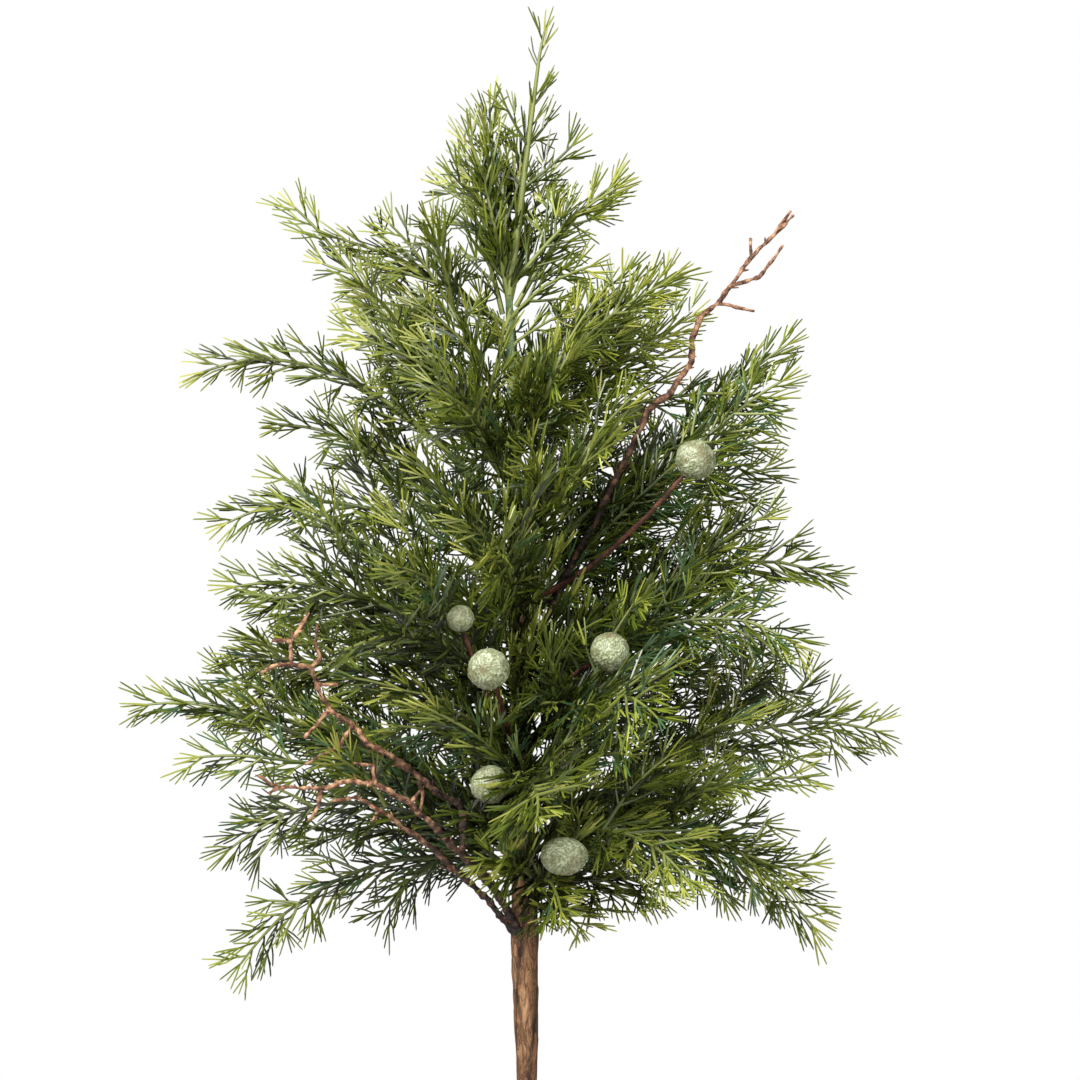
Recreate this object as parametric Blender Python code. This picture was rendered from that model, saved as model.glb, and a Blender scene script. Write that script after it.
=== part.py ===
"""Artificial juniper in a plain clay pot, as separate closed solids.

A taped trunk stands in a filled pot and runs up through the crown. Boughs, sprays of moulded
needles, stalks with a round cone, and bare twigs leave it on all sides. The script works in
metres with +Z up. The origin is the middle of the pot's flat underside, and the viewer of the
front stands on the -Y side, with +X to the right. Named sizes are in millimetres and degrees.
"""

import math
import random
from dataclasses import dataclass

import bmesh
import bpy
import numpy as np
from mathutils import Matrix, Vector

MM = 0.001
UP = Vector((0, 0, 1))
# Neighbouring solids stay this far apart.
CLEARANCE = 0.35
# Sine of the angle below which a direction counts as upright
NEARLY_UPRIGHT = 0.2
# Step in which a limb's foot is moved to the trunk, in millimetres and as a share of its curve
SEAT_STEP = 0.1
START_STEP = 0.001

# Clay pot, a tapered bowl with a plain band under its lip
POT_HEIGHT = 120
POT_FOOT_RADIUS = 50
POT_WAIST_RADIUS = 67
POT_RIM_RADIUS = 74
POT_BAND_HEIGHT = 27
POT_BAND_STEP = 3.5
POT_INNER_FLOOR_RADIUS = 44
POT_INNER_RIM_RADIUS = 66
POT_FLOOR = 9
POT_EDGE = 2
POT_SIDES = 30

# Filling of the pot
FILL_TOP = 106
FILL_EDGE = 3

# Trunk of taped wires: narrow where it enters the pot, thickest where the crown begins
TRUNK_TIP_HEIGHT = 527
TRUNK_FOOT_RADIUS = 4.6
TRUNK_CROWN_HEIGHT = 206
TRUNK_CROWN_RADIUS = 7.0
TRUNK_TIP_RADIUS = 1.8
TRUNK_TAPER_POWER = 0.8
TRUNK_LEAN_LEFT = 9
TRUNK_LEAN_POWER = 1.5
TRUNK_BELLY_BACK = 3
TRUNK_SIDES = 10
TRUNK_RINGS = 16

# Boughs and stalks
BOUGH_ROOT_RADIUS = 2.6
BOUGH_TIP_RADIUS = 1.9
BOUGH_SIDES = 6
BOUGH_RINGS = 6
STALK_ROOT_RADIUS = 1.5
STALK_TIP_RADIUS = 1.1
STALK_SIDES = 5
STALK_RINGS = 6
STALK_ARCH = 4

# Bare twigs
TWIG_ROOT_RADIUS = 2.2
TWIG_TIP_RADIUS = 1.0
TWIG_SIDES = 5
TWIG_RINGS = 8
SPUR_TIP_RADIUS = 0.8
SPUR_MIDDLE_SHARE = 0.9
SPUR_BEND = 18
SPUR_SIDES = 4

# Sprays: a three-sided stem with flat blades, each a fan of pointed teeth that stands for a
# side twig with its forked needles
STEM_ROOT_RADIUS = 1.9
STEM_TIP_RADIUS = 1.0
STEM_SIDES = 3
STEM_RINGS = 4
FIRST_BLADE = 12
BLADE_PITCH = 19
PITCH_SPREAD = 0.15
BLADE_ANGLE = 42
BLADE_ANGLE_SPREAD = 6
BLADE_TWIST = 22
BLADE_LIFT = 28
BLADE_SIZE_SPREAD = 0.1
BLADE_THICKNESS = 1.5
BLADE_ROOT = 0.5
END_BLADE_ROOT = 2.5
BLADE_CURL = 0.12
END_BLADE = 38
# Angle of each tooth from the blade's line, forward of it where above 0, and its share of the
# blade's length, on a side blade, on a short one and on the blade that ends a spray
SIDE_TEETH = ((-36, 0.62), (-18, 0.86), (0, 1.0), (20, 0.8))
SHORT_TEETH = ((-26, 0.75), (0, 1.0), (26, 0.7))
END_TEETH = ((-42, 0.62), (-20, 0.86), (0, 1.0), (20, 0.86), (42, 0.62))
SHORT_BLADE = 24
NOTCH_SHARE = 0.62
LEAST_NOTCH = 3
LEAST_TOOTH = 8
LEAST_BLADE = 15
# Side twigs start at this share of the longest, and shrink by this share towards the tip
ENVELOPE_FOOT = 0.7
ENVELOPE_SHRINK = 0.75
ENVELOPE_POWER = 0.7
SEED = 11


@dataclass(frozen=True)
class Branch:
    """A branch with its spray of needles.

    azimuth is where its tip points (0 right, 90 back, 180 left, 270 front). root is its height
    on the trunk, reach and tip are its tip's distance from the pot's axis and height, and arch
    is how far its middle is lifted. bare is the share of it that is a bough without needles.
    width is its longest side twig, and roll turns its flat side from level (0) to upright (90).
    """

    name: str
    azimuth: float
    root: float
    reach: float
    tip: float
    arch: float
    bare: float
    width: float
    roll: float
    tone: str = "mid"


BRANCHES = (
    Branch("left_1", 172, 492, 48, 606, 6, 0, 42, 80, "light"),
    Branch("left_2", 200, 462, 68, 579, 8, 0, 42, 70),
    Branch("left_3", 176, 436, 124, 579, 8, 0, 58, 84, "light"),
    Branch("left_4", 187, 412, 168, 487, 34, 0.2, 37, 70),
    Branch("left_5", 164, 396, 138, 462, 18, 0, 42, 60, "dark"),
    Branch("left_6", 181, 368, 160, 411, 26, 0, 64, 82),
    Branch("left_7", 192, 336, 160, 380, 20, 0.16, 58, 74, "dark"),
    Branch("left_8", 174, 258, 208, 320, 14, 0.17, 77, 84),
    Branch("left_9", 198, 243, 174, 256, 30, 0, 58, 70),
    Branch("left_10", 170, 229, 168, 181, 34, 0.16, 64, 84),
    Branch("left_11", 146, 224, 90, 207, 14, 0, 38, 60),
    Branch("right_1", 4, 512, 52, 584, 5, 0, 46, 82, "light"),
    Branch("right_2", 350, 466, 86, 547, 8, 0, 54, 76),
    Branch("right_3", 22, 446, 104, 518, 8, 0, 50, 68),
    Branch("right_4", 354, 384, 140, 516, 6, 0.18, 58, 80, "light"),
    Branch("right_5", 14, 366, 136, 446, 18, 0, 60, 66),
    Branch("right_6", 3, 326, 164, 384, 30, 0.16, 54, 78),
    Branch("right_7", 345, 300, 156, 334, 30, 0, 60, 66, "dark"),
    Branch("right_8", 5, 252, 190, 304, 22, 0.16, 67, 80, "light"),
    Branch("right_9", 352, 232, 156, 204, 34, 0.16, 60, 78),
    Branch("right_10", 334, 222, 96, 216, 14, 0, 38, 50, "light"),
    Branch("front_1", 288, 448, 74, 500, 10, 0, 47, 40, "light"),
    Branch("front_2", 236, 420, 96, 474, 14, 0, 50, 50),
    Branch("front_3", 306, 392, 110, 442, 14, 0, 50, 35),
    Branch("front_4", 262, 360, 118, 404, 18, 0, 54, 60, "light"),
    Branch("front_5", 226, 318, 138, 352, 20, 0, 58, 40, "dark"),
    Branch("front_6", 292, 296, 138, 330, 22, 0, 60, 55),
    Branch("front_7", 266, 262, 146, 284, 22, 0, 60, 35),
    Branch("front_8", 312, 238, 132, 236, 22, 0, 58, 50, "light"),
    Branch("front_9", 262, 222, 88, 206, 12, 0, 36, 45),
    Branch("back_1", 84, 454, 76, 510, 10, 0, 47, 45),
    Branch("back_2", 128, 424, 104, 478, 14, 0, 50, 40, "dark"),
    Branch("back_3", 56, 402, 112, 446, 14, 0, 54, 55),
    Branch("back_4", 100, 354, 132, 394, 18, 0, 58, 35),
    Branch("back_5", 142, 316, 146, 352, 20, 0, 60, 50),
    Branch("back_6", 48, 286, 148, 326, 22, 0, 60, 40, "dark"),
    Branch("back_7", 96, 248, 150, 262, 24, 0, 60, 55),
)

# The spray that crowns the trunk
LEADER_TIP_RIGHT = 9
LEADER_TIP_HEIGHT = 669
LEADER_WIDTH = 44
LEADER_BLADE_PITCH = 15


@dataclass(frozen=True)
class Cone:
    """A round cone on its stalk: where its middle is, its stalk's root height, its radius."""

    azimuth: float
    reach: float
    height: float
    root: float
    radius: float


CONES = (
    Cone(330, 95, 444, 372, 10.5),
    Cone(8, 54, 469, 424, 7),
    Cone(242, 68, 367, 306, 7),
    Cone(256, 88, 341, 282, 10.5),
    Cone(302, 76, 351, 310, 10),
    Cone(250, 52, 286, 236, 10),
    Cone(286, 66, 249, 216, 10.5),
)


@dataclass(frozen=True)
class BareTwig:
    """A knobbly twig with no needles. Each spur is (share of the length, length, rise, swing)."""

    name: str
    azimuth: float
    root: float
    reach: float
    tip: float
    arch: float
    kink: float
    spurs: tuple


BARE_TWIGS = (
    BareTwig(
        "right_tall", 352, 338, 132, 570, 12, 4,
        ((0.76, 19, -8, -40), (0.84, 30, 50, -30), (0.9, 12, 88, 60), (0.95, 9, 20, -50)),
    ),
    BareTwig(
        "left_upper", 206, 222, 132, 366, 4, 6,
        ((0.9, 20, 10, 40), (0.84, 20, 75, -50), (0.62, 18, -25, 35), (0.45, 16, -20, 40)),
    ),
    BareTwig(
        "left_middle", 214, 214, 154, 286, 34, 4,
        ((0.72, 18, -60, 30), (0.55, 16, 50, -40), (0.88, 12, -10, 45)),
    ),
    BareTwig(
        "left_lower", 203, 206, 106, 272, 14, 4,
        ((0.6, 13, -30, 40), (0.8, 14, 40, -40)),
    ),
)

COLOURS = {
    "clay": (0.52, 0.22, 0.11),
    "potting_mix": (0.07, 0.045, 0.03),
    "trunk_tape": (0.21, 0.115, 0.055),
    "bough": (0.055, 0.075, 0.03),
    "bare_twig": (0.22, 0.11, 0.06),
    "cone": (0.38, 0.43, 0.28),
    "needles_light": (0.17, 0.22, 0.05),
    "needles_mid": (0.085, 0.13, 0.03),
    "needles_dark": (0.04, 0.075, 0.02),
}
ROUGHNESS = {"clay": 0.85, "potting_mix": 0.95, "trunk_tape": 0.7, "cone": 0.8}
PLAIN_ROUGHNESS = 0.5
SHARP_ANGLE = 35


class Arc:
    """A smooth curve from root to tip whose middle is lifted by arch."""

    def __init__(self, root, tip, arch):
        self.root = root
        self.tip = tip
        self.control = (root + tip) / 2 + UP * 2 * arch

    def point(self, t):
        """The point at a share t of the curve."""
        return self.root * (1 - t) ** 2 + self.control * 2 * t * (1 - t) + self.tip * t**2

    def tangent(self, t):
        """The curve's direction at a share t."""
        slope = (self.control - self.root) * (1 - t) + (self.tip - self.control) * t
        return slope.normalized()

    def length(self, steps=24):
        """The curve's length, measured along short straight steps."""
        points = [self.point(i / steps) for i in range(steps + 1)]
        return sum((b - a).length for a, b in zip(points, points[1:]))


def polar(azimuth, reach, height):
    """The point at that azimuth and distance from the pot's axis, and that height."""
    angle = math.radians(azimuth)
    return Vector((reach * math.cos(angle), reach * math.sin(angle), height))


def trunk_point(height):
    """The trunk's middle at a height: it leans left and bellies to the back."""
    share = (height - FILL_TOP) / (TRUNK_TIP_HEIGHT - FILL_TOP)
    back = TRUNK_BELLY_BACK * math.sin(math.pi * share)
    return Vector((-TRUNK_LEAN_LEFT * max(share, 0) ** TRUNK_LEAN_POWER, back, height))


def trunk_radius(height):
    """The trunk's radius at a height."""
    if height < TRUNK_CROWN_HEIGHT:
        share = (height - FILL_TOP) / (TRUNK_CROWN_HEIGHT - FILL_TOP)
        return TRUNK_FOOT_RADIUS + (TRUNK_CROWN_RADIUS - TRUNK_FOOT_RADIUS) * max(share, 0)
    share = (height - TRUNK_CROWN_HEIGHT) / (TRUNK_TIP_HEIGHT - TRUNK_CROWN_HEIGHT)
    thinner = (TRUNK_CROWN_RADIUS - TRUNK_TIP_RADIUS) * min(share, 1) ** TRUNK_TAPER_POWER
    return TRUNK_CROWN_RADIUS - thinner


def outside_trunk(point):
    """How far a point stands off the trunk's surface."""
    if point.z > TRUNK_TIP_HEIGHT:
        return (point - trunk_point(TRUNK_TIP_HEIGHT)).length - TRUNK_TIP_RADIUS
    return (point - trunk_point(point.z)).length - trunk_radius(point.z)


def tapered(first, last, count):
    """Evenly spaced values from first to last."""
    return [first + (last - first) * i / (count - 1) for i in range(count)]


def turned(vector, axis, degrees):
    """The vector turned about an axis."""
    return Matrix.Rotation(math.radians(degrees), 3, axis) @ vector


def side_of(tangent):
    """A level direction square to the tangent, or near +X where the tangent is almost upright."""
    level = tangent.cross(UP)
    if level.length < NEARLY_UPRIGHT:
        return (Vector((1, 0, 0)) - tangent * tangent.x).normalized()
    return level.normalized()


def rings_along(points, radii, sides, first=None, last=None):
    """One ring of points round each point of a line, without twist from ring to ring.

    The end rings stand square to first and last where they are given.
    """
    rings = []
    side = None
    for i, point in enumerate(points):
        before, after = points[max(i - 1, 0)], points[min(i + 1, len(points) - 1)]
        tangent = (after - before).normalized()
        if i == 0 and first:
            tangent = first
        if i == len(points) - 1 and last:
            tangent = last
        side = side or side_of(tangent)
        side = (side - tangent * side.dot(tangent)).normalized()
        other = tangent.cross(side)
        angles = [2 * math.pi * k / sides for k in range(sides)]
        rings.append([point + (side * math.cos(a) + other * math.sin(a)) * radii[i] for a in angles])
    return rings


def seated(point, tangent):
    """A point at a limb's foot, slid back along the limb until it lies on the trunk's surface."""
    while outside_trunk(point - tangent * SEAT_STEP) > CLEARANCE:
        point = point - tangent * SEAT_STEP
    return point


def start_clear(arc, radius, sides):
    """The share of an arc at which a limb's flat end, with that many sides, clears the trunk."""
    t = 0.0
    while True:
        tangent = arc.tangent(t)
        side = side_of(tangent)
        ring = [turned(side, tangent, 360 * k / sides) * radius for k in range(sides)]
        edges = zip(ring, ring[1:] + ring[:1])
        rim = [a.lerp(b, share) for a, b in edges for share in (0, 0.25, 0.5, 0.75)]
        if min(outside_trunk(arc.point(t) + p) for p in [*rim, Vector()]) > CLEARANCE:
            return t
        t += START_STEP


def new_object(name, mesh, colour):
    """Links a mesh as an object of that name, with its own material."""
    obj = bpy.data.objects.new(name, mesh)
    material = bpy.data.materials.get(colour)
    if material is None:
        material = bpy.data.materials.new(colour)
        material.use_nodes = True
        shader = material.node_tree.nodes["Principled BSDF"]
        shader.inputs["Base Color"].default_value = (*COLOURS[colour], 1)
        shader.inputs["Roughness"].default_value = ROUGHNESS.get(colour, PLAIN_ROUGHNESS)
        material.diffuse_color = (*COLOURS[colour], 1)
    mesh.materials.clear()
    mesh.materials.append(material)
    bpy.context.scene.collection.objects.link(obj)
    return obj


def mesh_of(name, points, faces):
    """A mesh of points in millimetres, with its faces turned outwards."""
    mesh = bpy.data.meshes.new(name)
    mesh.from_pydata([p * MM for p in points], [], faces)
    work = bmesh.new()
    work.from_mesh(mesh)
    bmesh.ops.recalc_face_normals(work, faces=work.faces)
    work.to_mesh(mesh)
    work.free()
    return mesh


def tube_mesh(name, rings, hub=None):
    """A closed tube through the rings. Its first cap runs up to hub where one is given."""
    sides = len(rings[0])
    points = [p for ring in rings for p in ring]
    last = len(points) - sides
    faces = [tuple(range(last, len(points)))]
    if hub is None:
        faces.append(tuple(range(sides)))
    else:
        faces += [(k, (k + 1) % sides, len(points)) for k in range(sides)]
        points.append(hub)
    for i in range(len(rings) - 1):
        for k in range(sides):
            a, b = i * sides + k, i * sides + (k + 1) % sides
            faces.append((a, b, b + sides, a + sides))
    return mesh_of(name, points, faces)


def limb_mesh(name, points, radii, sides, last=None):
    """A limb that leaves the trunk, with its foot cut to the trunk's round side."""
    rings = rings_along(points, radii, sides, last=last)
    tangent = (points[1] - points[0]).normalized()
    rings[0] = [seated(point, tangent) for point in rings[0]]
    return tube_mesh(name, rings, hub=seated(points[0], tangent))


def fused(name, meshes, colour):
    """One object from several overlapping closed meshes, by a single Boolean union."""
    obj = new_object(name, meshes[0], colour)
    group = bpy.data.collections.new(name + "_pieces")
    bpy.context.scene.collection.children.link(group)
    for i, mesh in enumerate(meshes[1:]):
        group.objects.link(bpy.data.objects.new(f"{name}_piece_{i}", mesh))
    union = obj.modifiers.new("fuse", "BOOLEAN")
    union.operation = "UNION"
    union.solver = "MANIFOLD"
    union.operand_type = "COLLECTION"
    union.collection = group
    bpy.context.view_layer.update()
    graph = bpy.context.evaluated_depsgraph_get()
    joined = bpy.data.meshes.new_from_object(obj.evaluated_get(graph))
    obj.modifiers.clear()
    obj.data = joined
    joined.materials.clear()
    joined.materials.append(bpy.data.materials[colour])
    for piece in list(group.objects):
        bpy.data.objects.remove(piece)
    bpy.data.collections.remove(group)
    return obj


class Obstacles:
    """The limbs and cones, as balls along them, and the axis of each spray's stem."""

    def __init__(self):
        self.points = []
        self.radii = []
        self.axes = {}

    def add_limb(self, points, radii):
        """Takes a limb in as balls every millimetre or so."""
        for a, b, ra, rb in zip(points, points[1:], radii, radii[1:]):
            count = max(int((b - a).length), 1)
            for i in range(count + 1):
                self.points.append(tuple(a.lerp(b, i / count)))
                self.radii.append(ra + (rb - ra) * i / count)

    def add_ball(self, centre, radius):
        """Takes a cone's ball in."""
        self.points.append(tuple(centre))
        self.radii.append(radius)

    def add_axis(self, name, points):
        """Takes a spray's stem in as a dense row of points."""
        row = []
        for a, b in zip(points, points[1:]):
            count = max(int((b - a).length), 1)
            row += [tuple(a.lerp(b, i / count)) for i in range(count + 1)]
        self.axes[name] = np.array(row)

    def settle(self):
        """Turns the rows into arrays once all the limbs are in."""
        self.points = np.array(self.points)
        self.radii = np.array(self.radii)
        names = list(self.axes)
        self.owners = np.concatenate([[i] * len(self.axes[n]) for i, n in enumerate(names)])
        self.rows = np.concatenate([self.axes[n] for n in names])
        self.index = {n: i for i, n in enumerate(names)}

    def allows(self, name, point, radius):
        """Whether a ball lies nearer to this spray's stem than to any other, clear of all limbs."""
        place = np.array(point)
        gaps = np.linalg.norm(self.points - place, axis=1) - self.radii
        if gaps.min() < radius + CLEARANCE:
            return False
        distances = np.linalg.norm(self.rows - place, axis=1)
        mine = self.owners == self.index[name]
        return distances[~mine].min() - distances[mine].min() > 2 * radius + CLEARANCE


class Blade:
    """A side twig of a spray with its needles, as one flat fan of pointed teeth."""

    def __init__(self, start, along, across, length, teeth, root):
        self.start = start
        self.along = along
        self.across = across
        self.normal = along.cross(across)
        self.length = length
        self.teeth = teeth
        self.root = root

    def place(self, angle, reach):
        """A point of the blade, at an angle from its line. It curls forward further out."""
        u, v = reach * math.cos(math.radians(angle)), reach * math.sin(math.radians(angle))
        return self.start + self.along * u + self.across * (v + BLADE_CURL * u * u / self.length)

    def clear_reach(self, name, obstacles, angle, most):
        """How far a line at that angle stays in the spray's own space."""
        reach = 0.0
        while reach + 1 < most:
            if not obstacles.allows(name, self.place(angle, reach + 1), BLADE_THICKNESS / 2):
                return reach
            reach += 1
        return most

    def outline(self, name, obstacles):
        """The teeth and the notches between them, or nothing where too few teeth fit."""
        middle_reach = self.clear_reach(name, obstacles, 0, self.length)
        teeth = []
        for angle, share in self.teeth if middle_reach > SHORT_BLADE else SHORT_TEETH:
            reach = self.clear_reach(name, obstacles, angle, self.length * share)
            if reach >= LEAST_TOOTH:
                teeth.append((angle, reach))
        if len(teeth) < 2 or max(reach for _, reach in teeth) < LEAST_BLADE:
            return []
        corners = [self.place(*teeth[0])]
        for (a, near), (b, far) in zip(teeth, teeth[1:]):
            middle = (a + b) / 2
            notch = self.clear_reach(name, obstacles, middle, min(near, far) * NOTCH_SHARE)
            corners += [self.place(middle, max(notch, LEAST_NOTCH)), self.place(b, far)]
        return [self.start - self.along * self.root, *corners]

    def mesh(self, corners):
        """The blade as a thin closed mesh."""
        count = len(corners)
        lift = self.normal * BLADE_THICKNESS / 2
        points = [p + lift for p in corners] + [p - lift for p in corners]
        faces = [tuple(range(count)), tuple(range(count, 2 * count))]
        for k in range(count):
            after = (k + 1) % count
            faces.append((k, after, after + count, k + count))
        return mesh_of("blade", points, faces)


def envelope(share):
    """How long the side twigs are along a spray: longest at a third of it, shortest at its tip."""
    return min(ENVELOPE_FOOT + share, 1) * (1 - ENVELOPE_SHRINK * share) ** ENVELOPE_POWER


class Spray:
    """One mass of needles: a stem with blades on both sides, in slightly turned planes."""

    def __init__(self, name, arc, start, width, roll, pitch, tone, foot=None):
        self.name = name
        self.arc = arc
        self.start = start
        self.width = width
        self.roll = roll
        self.pitch = pitch
        self.tone = tone
        self.foot = foot
        self.random = random.Random(f"{SEED} {name}")
        self.length = arc.length() * (1 - start)
        self.end = 1 - (1 - start) * END_BLADE / self.length

    def stem(self):
        """Points and radii of the stem, which stops short of the last blade's tip."""
        shares = tapered(self.start, self.end, STEM_RINGS + 1)
        radii = tapered(STEM_ROOT_RADIUS, STEM_TIP_RADIUS, STEM_RINGS + 1)
        return [self.arc.point(t) for t in shares], radii

    def blades(self):
        """The blades along the stem, left and right in turn, and one that ends it."""
        place, side = FIRST_BLADE, 1
        while place < self.length - END_BLADE:
            share = place / self.length
            t = self.start + (1 - self.start) * share
            tangent = self.arc.tangent(t)
            twist = BLADE_TWIST * self.random.uniform(-1, 1)
            level = turned(side_of(tangent), tangent, self.roll + twist) * side
            angle = math.radians(BLADE_ANGLE + self.random.uniform(-1, 1) * BLADE_ANGLE_SPREAD)
            along = tangent * math.cos(angle) + level * math.sin(angle)
            across = (tangent - along * tangent.dot(along)).normalized()
            across = turned(across, along, BLADE_LIFT * self.random.uniform(-1, 1))
            size = self.width * envelope(share)
            size *= 1 + BLADE_SIZE_SPREAD * self.random.uniform(-1, 1)
            yield Blade(self.arc.point(t), along, across, size, SIDE_TEETH, BLADE_ROOT)
            place += self.pitch * (1 + PITCH_SPREAD * self.random.uniform(-1, 1))
            side = -side
        foot, tip = self.arc.point(self.end), self.arc.tip
        along = (tip - foot).normalized()
        across = turned(side_of(along), along, self.roll)
        yield Blade(foot, along, across, (tip - foot).length, END_TEETH, END_BLADE_ROOT)

    def build(self, obstacles):
        """Builds the spray as one fused solid."""
        points, radii = self.stem()
        first = self.foot or self.arc.tangent(self.start)
        meshes = [tube_mesh(self.name, rings_along(points, radii, STEM_SIDES, first=first))]
        for blade in self.blades():
            corners = blade.outline(self.name, obstacles)
            if corners:
                meshes.append(blade.mesh(corners))
        return fused(self.name, meshes, "needles_" + self.tone)


def build_pot():
    """The clay pot, turned from its profile: foot, wall, band, lip, inside wall and floor."""
    band_foot = POT_HEIGHT - POT_BAND_HEIGHT
    profile = [
        (0, 0),
        (POT_FOOT_RADIUS - POT_EDGE, 0),
        (POT_FOOT_RADIUS, POT_EDGE),
        (POT_WAIST_RADIUS, band_foot - POT_EDGE / 2),
        (POT_WAIST_RADIUS + POT_BAND_STEP, band_foot),
        (POT_RIM_RADIUS, POT_HEIGHT - POT_EDGE),
        (POT_RIM_RADIUS - POT_EDGE, POT_HEIGHT),
        (POT_INNER_RIM_RADIUS + POT_EDGE / 2, POT_HEIGHT),
        (POT_INNER_RIM_RADIUS, POT_HEIGHT - POT_EDGE / 2),
        (POT_INNER_FLOOR_RADIUS, POT_FLOOR),
        (0, POT_FLOOR),
    ]
    return new_object("pot", turned_mesh("pot", profile, POT_SIDES), "clay")


def pot_inside_radius(height):
    """The radius of the pot's inside at a height."""
    share = (height - POT_FLOOR) / (POT_HEIGHT - POT_FLOOR)
    return POT_INNER_FLOOR_RADIUS + (POT_INNER_RIM_RADIUS - POT_INNER_FLOOR_RADIUS) * share


def turned_mesh(name, profile, sides):
    """A closed solid turned from (radius, height) points that start and end on the axis."""
    points, rows = [], []
    for radius, height in profile:
        if radius == 0:
            rows.append([len(points)] * sides)
            points.append(Vector((0, 0, height)))
            continue
        rows.append([len(points) + k for k in range(sides)])
        for k in range(sides):
            angle = 2 * math.pi * k / sides
            points.append(Vector((radius * math.cos(angle), radius * math.sin(angle), height)))
    faces = []
    for low, high in zip(rows, rows[1:]):
        for k in range(sides):
            after = (k + 1) % sides
            corners = [low[k], low[after], high[after], high[k]]
            faces.append(tuple(dict.fromkeys(corners)))
    return mesh_of(name, points, faces)


def build_fill():
    """The filling, a tapered plug with a flat top just under the pot's lip."""
    low = POT_FLOOR + CLEARANCE
    # The facets of the pot's inside lie a little nearer to the axis than its corners.
    gap = CLEARANCE + POT_RIM_RADIUS * (1 - math.cos(math.pi / POT_SIDES))
    profile = [
        (0, low),
        (pot_inside_radius(low) - gap, low),
        (pot_inside_radius(FILL_TOP - FILL_EDGE) - gap, FILL_TOP - FILL_EDGE),
        (pot_inside_radius(FILL_TOP) - gap - FILL_EDGE, FILL_TOP),
        (0, FILL_TOP),
    ]
    return new_object("potting_mix", turned_mesh("potting_mix", profile, POT_SIDES), "potting_mix")


def trunk_line():
    """Points and radii of the trunk, from its flat cut on the filling to its tip."""
    heights = tapered(FILL_TOP + CLEARANCE, TRUNK_TIP_HEIGHT, TRUNK_RINGS)
    return [trunk_point(h) for h in heights], [trunk_radius(h) for h in heights]


def build_trunk():
    """The trunk, with a level cut at its foot."""
    points, radii = trunk_line()
    rings = rings_along(points, radii, TRUNK_SIDES, first=UP, last=UP)
    return new_object("trunk", tube_mesh("trunk", rings), "trunk_tape")


def branch_arc(branch):
    """The curve of a branch, from the trunk's middle to its tip."""
    return Arc(trunk_point(branch.root), polar(branch.azimuth, branch.reach, branch.tip), branch.arch)


def limb_line(arc, start, end, first, last, rings):
    """Points and radii along part of an arc."""
    return [arc.point(t) for t in tapered(start, end, rings)], tapered(first, last, rings)


def stalk_arc(cone):
    """The curve of a cone's stalk, from the trunk's middle to the cone's."""
    return Arc(trunk_point(cone.root), cone_middle(cone), STALK_ARCH)


def cone_middle(cone):
    """The middle of a cone's ball."""
    return polar(cone.azimuth, cone.reach, cone.height)


def kinked_line(twig):
    """Points and radii of a bare twig: an arc with seeded kinks."""
    chance = random.Random(f"{SEED} {twig.name}")
    arc = branch_arc(twig)
    start = start_clear(arc, TWIG_ROOT_RADIUS, TWIG_SIDES)
    points, radii = limb_line(arc, start, 1, TWIG_ROOT_RADIUS, TWIG_TIP_RADIUS, TWIG_RINGS)
    for i in range(2, TWIG_RINGS - 1):
        points[i] = points[i] + Vector([chance.uniform(-1, 1) * twig.kink for _ in range(3)])
    return points, radii


def along_line(points, share):
    """The point at a share of a line's points."""
    place = share * (len(points) - 1)
    i = min(int(place), len(points) - 2)
    return points[i].lerp(points[i + 1], place - i)


def spur_lines(twig, points, radii):
    """Points and radii of a bare twig's spurs, each bent once."""
    for share, length, rise, swing in twig.spurs:
        foot = along_line(points, share)
        way = polar(twig.azimuth + swing, math.cos(math.radians(rise)), math.sin(math.radians(rise)))
        bend = turned(way, side_of(way), SPUR_BEND)
        middle = foot + way * length / 2
        thick = radii[0] + (radii[-1] - radii[0]) * share
        thickness = [thick, thick * SPUR_MIDDLE_SHARE, SPUR_TIP_RADIUS]
        yield [foot, middle, middle + bend * length / 2], thickness


def build_bare_twig(twig):
    """A bare twig with its spurs as one solid, seated on the trunk."""
    points, radii = kinked_line(twig)
    name = "bare_twig_" + twig.name
    meshes = [limb_mesh(name, points, radii, TWIG_SIDES)]
    for spur, thick in spur_lines(twig, points, radii):
        meshes.append(tube_mesh("spur", rings_along(spur, thick, SPUR_SIDES)))
    return fused(name, meshes, "bare_twig")


def cone_ball(cone):
    """The ball of a cone as a coarse round mesh."""
    mesh = bpy.data.meshes.new("ball")
    work = bmesh.new()
    bmesh.ops.create_icosphere(work, subdivisions=2, radius=cone.radius * MM)
    bmesh.ops.translate(work, verts=work.verts, vec=cone_middle(cone) * MM)
    work.to_mesh(mesh)
    work.free()
    return mesh


def stalk_line(cone):
    """Points and radii of a cone's stalk, from the trunk to inside the cone."""
    arc = stalk_arc(cone)
    start = start_clear(arc, STALK_ROOT_RADIUS, STALK_SIDES)
    return limb_line(arc, start, 1, STALK_ROOT_RADIUS, STALK_TIP_RADIUS, STALK_RINGS)


def build_cone(number, cone):
    """A cone fused to its stalk."""
    points, radii = stalk_line(cone)
    stalk = limb_mesh(f"cone_{number}", points, radii, STALK_SIDES)
    return fused(f"cone_{number}", [stalk, cone_ball(cone)], "cone")


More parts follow.
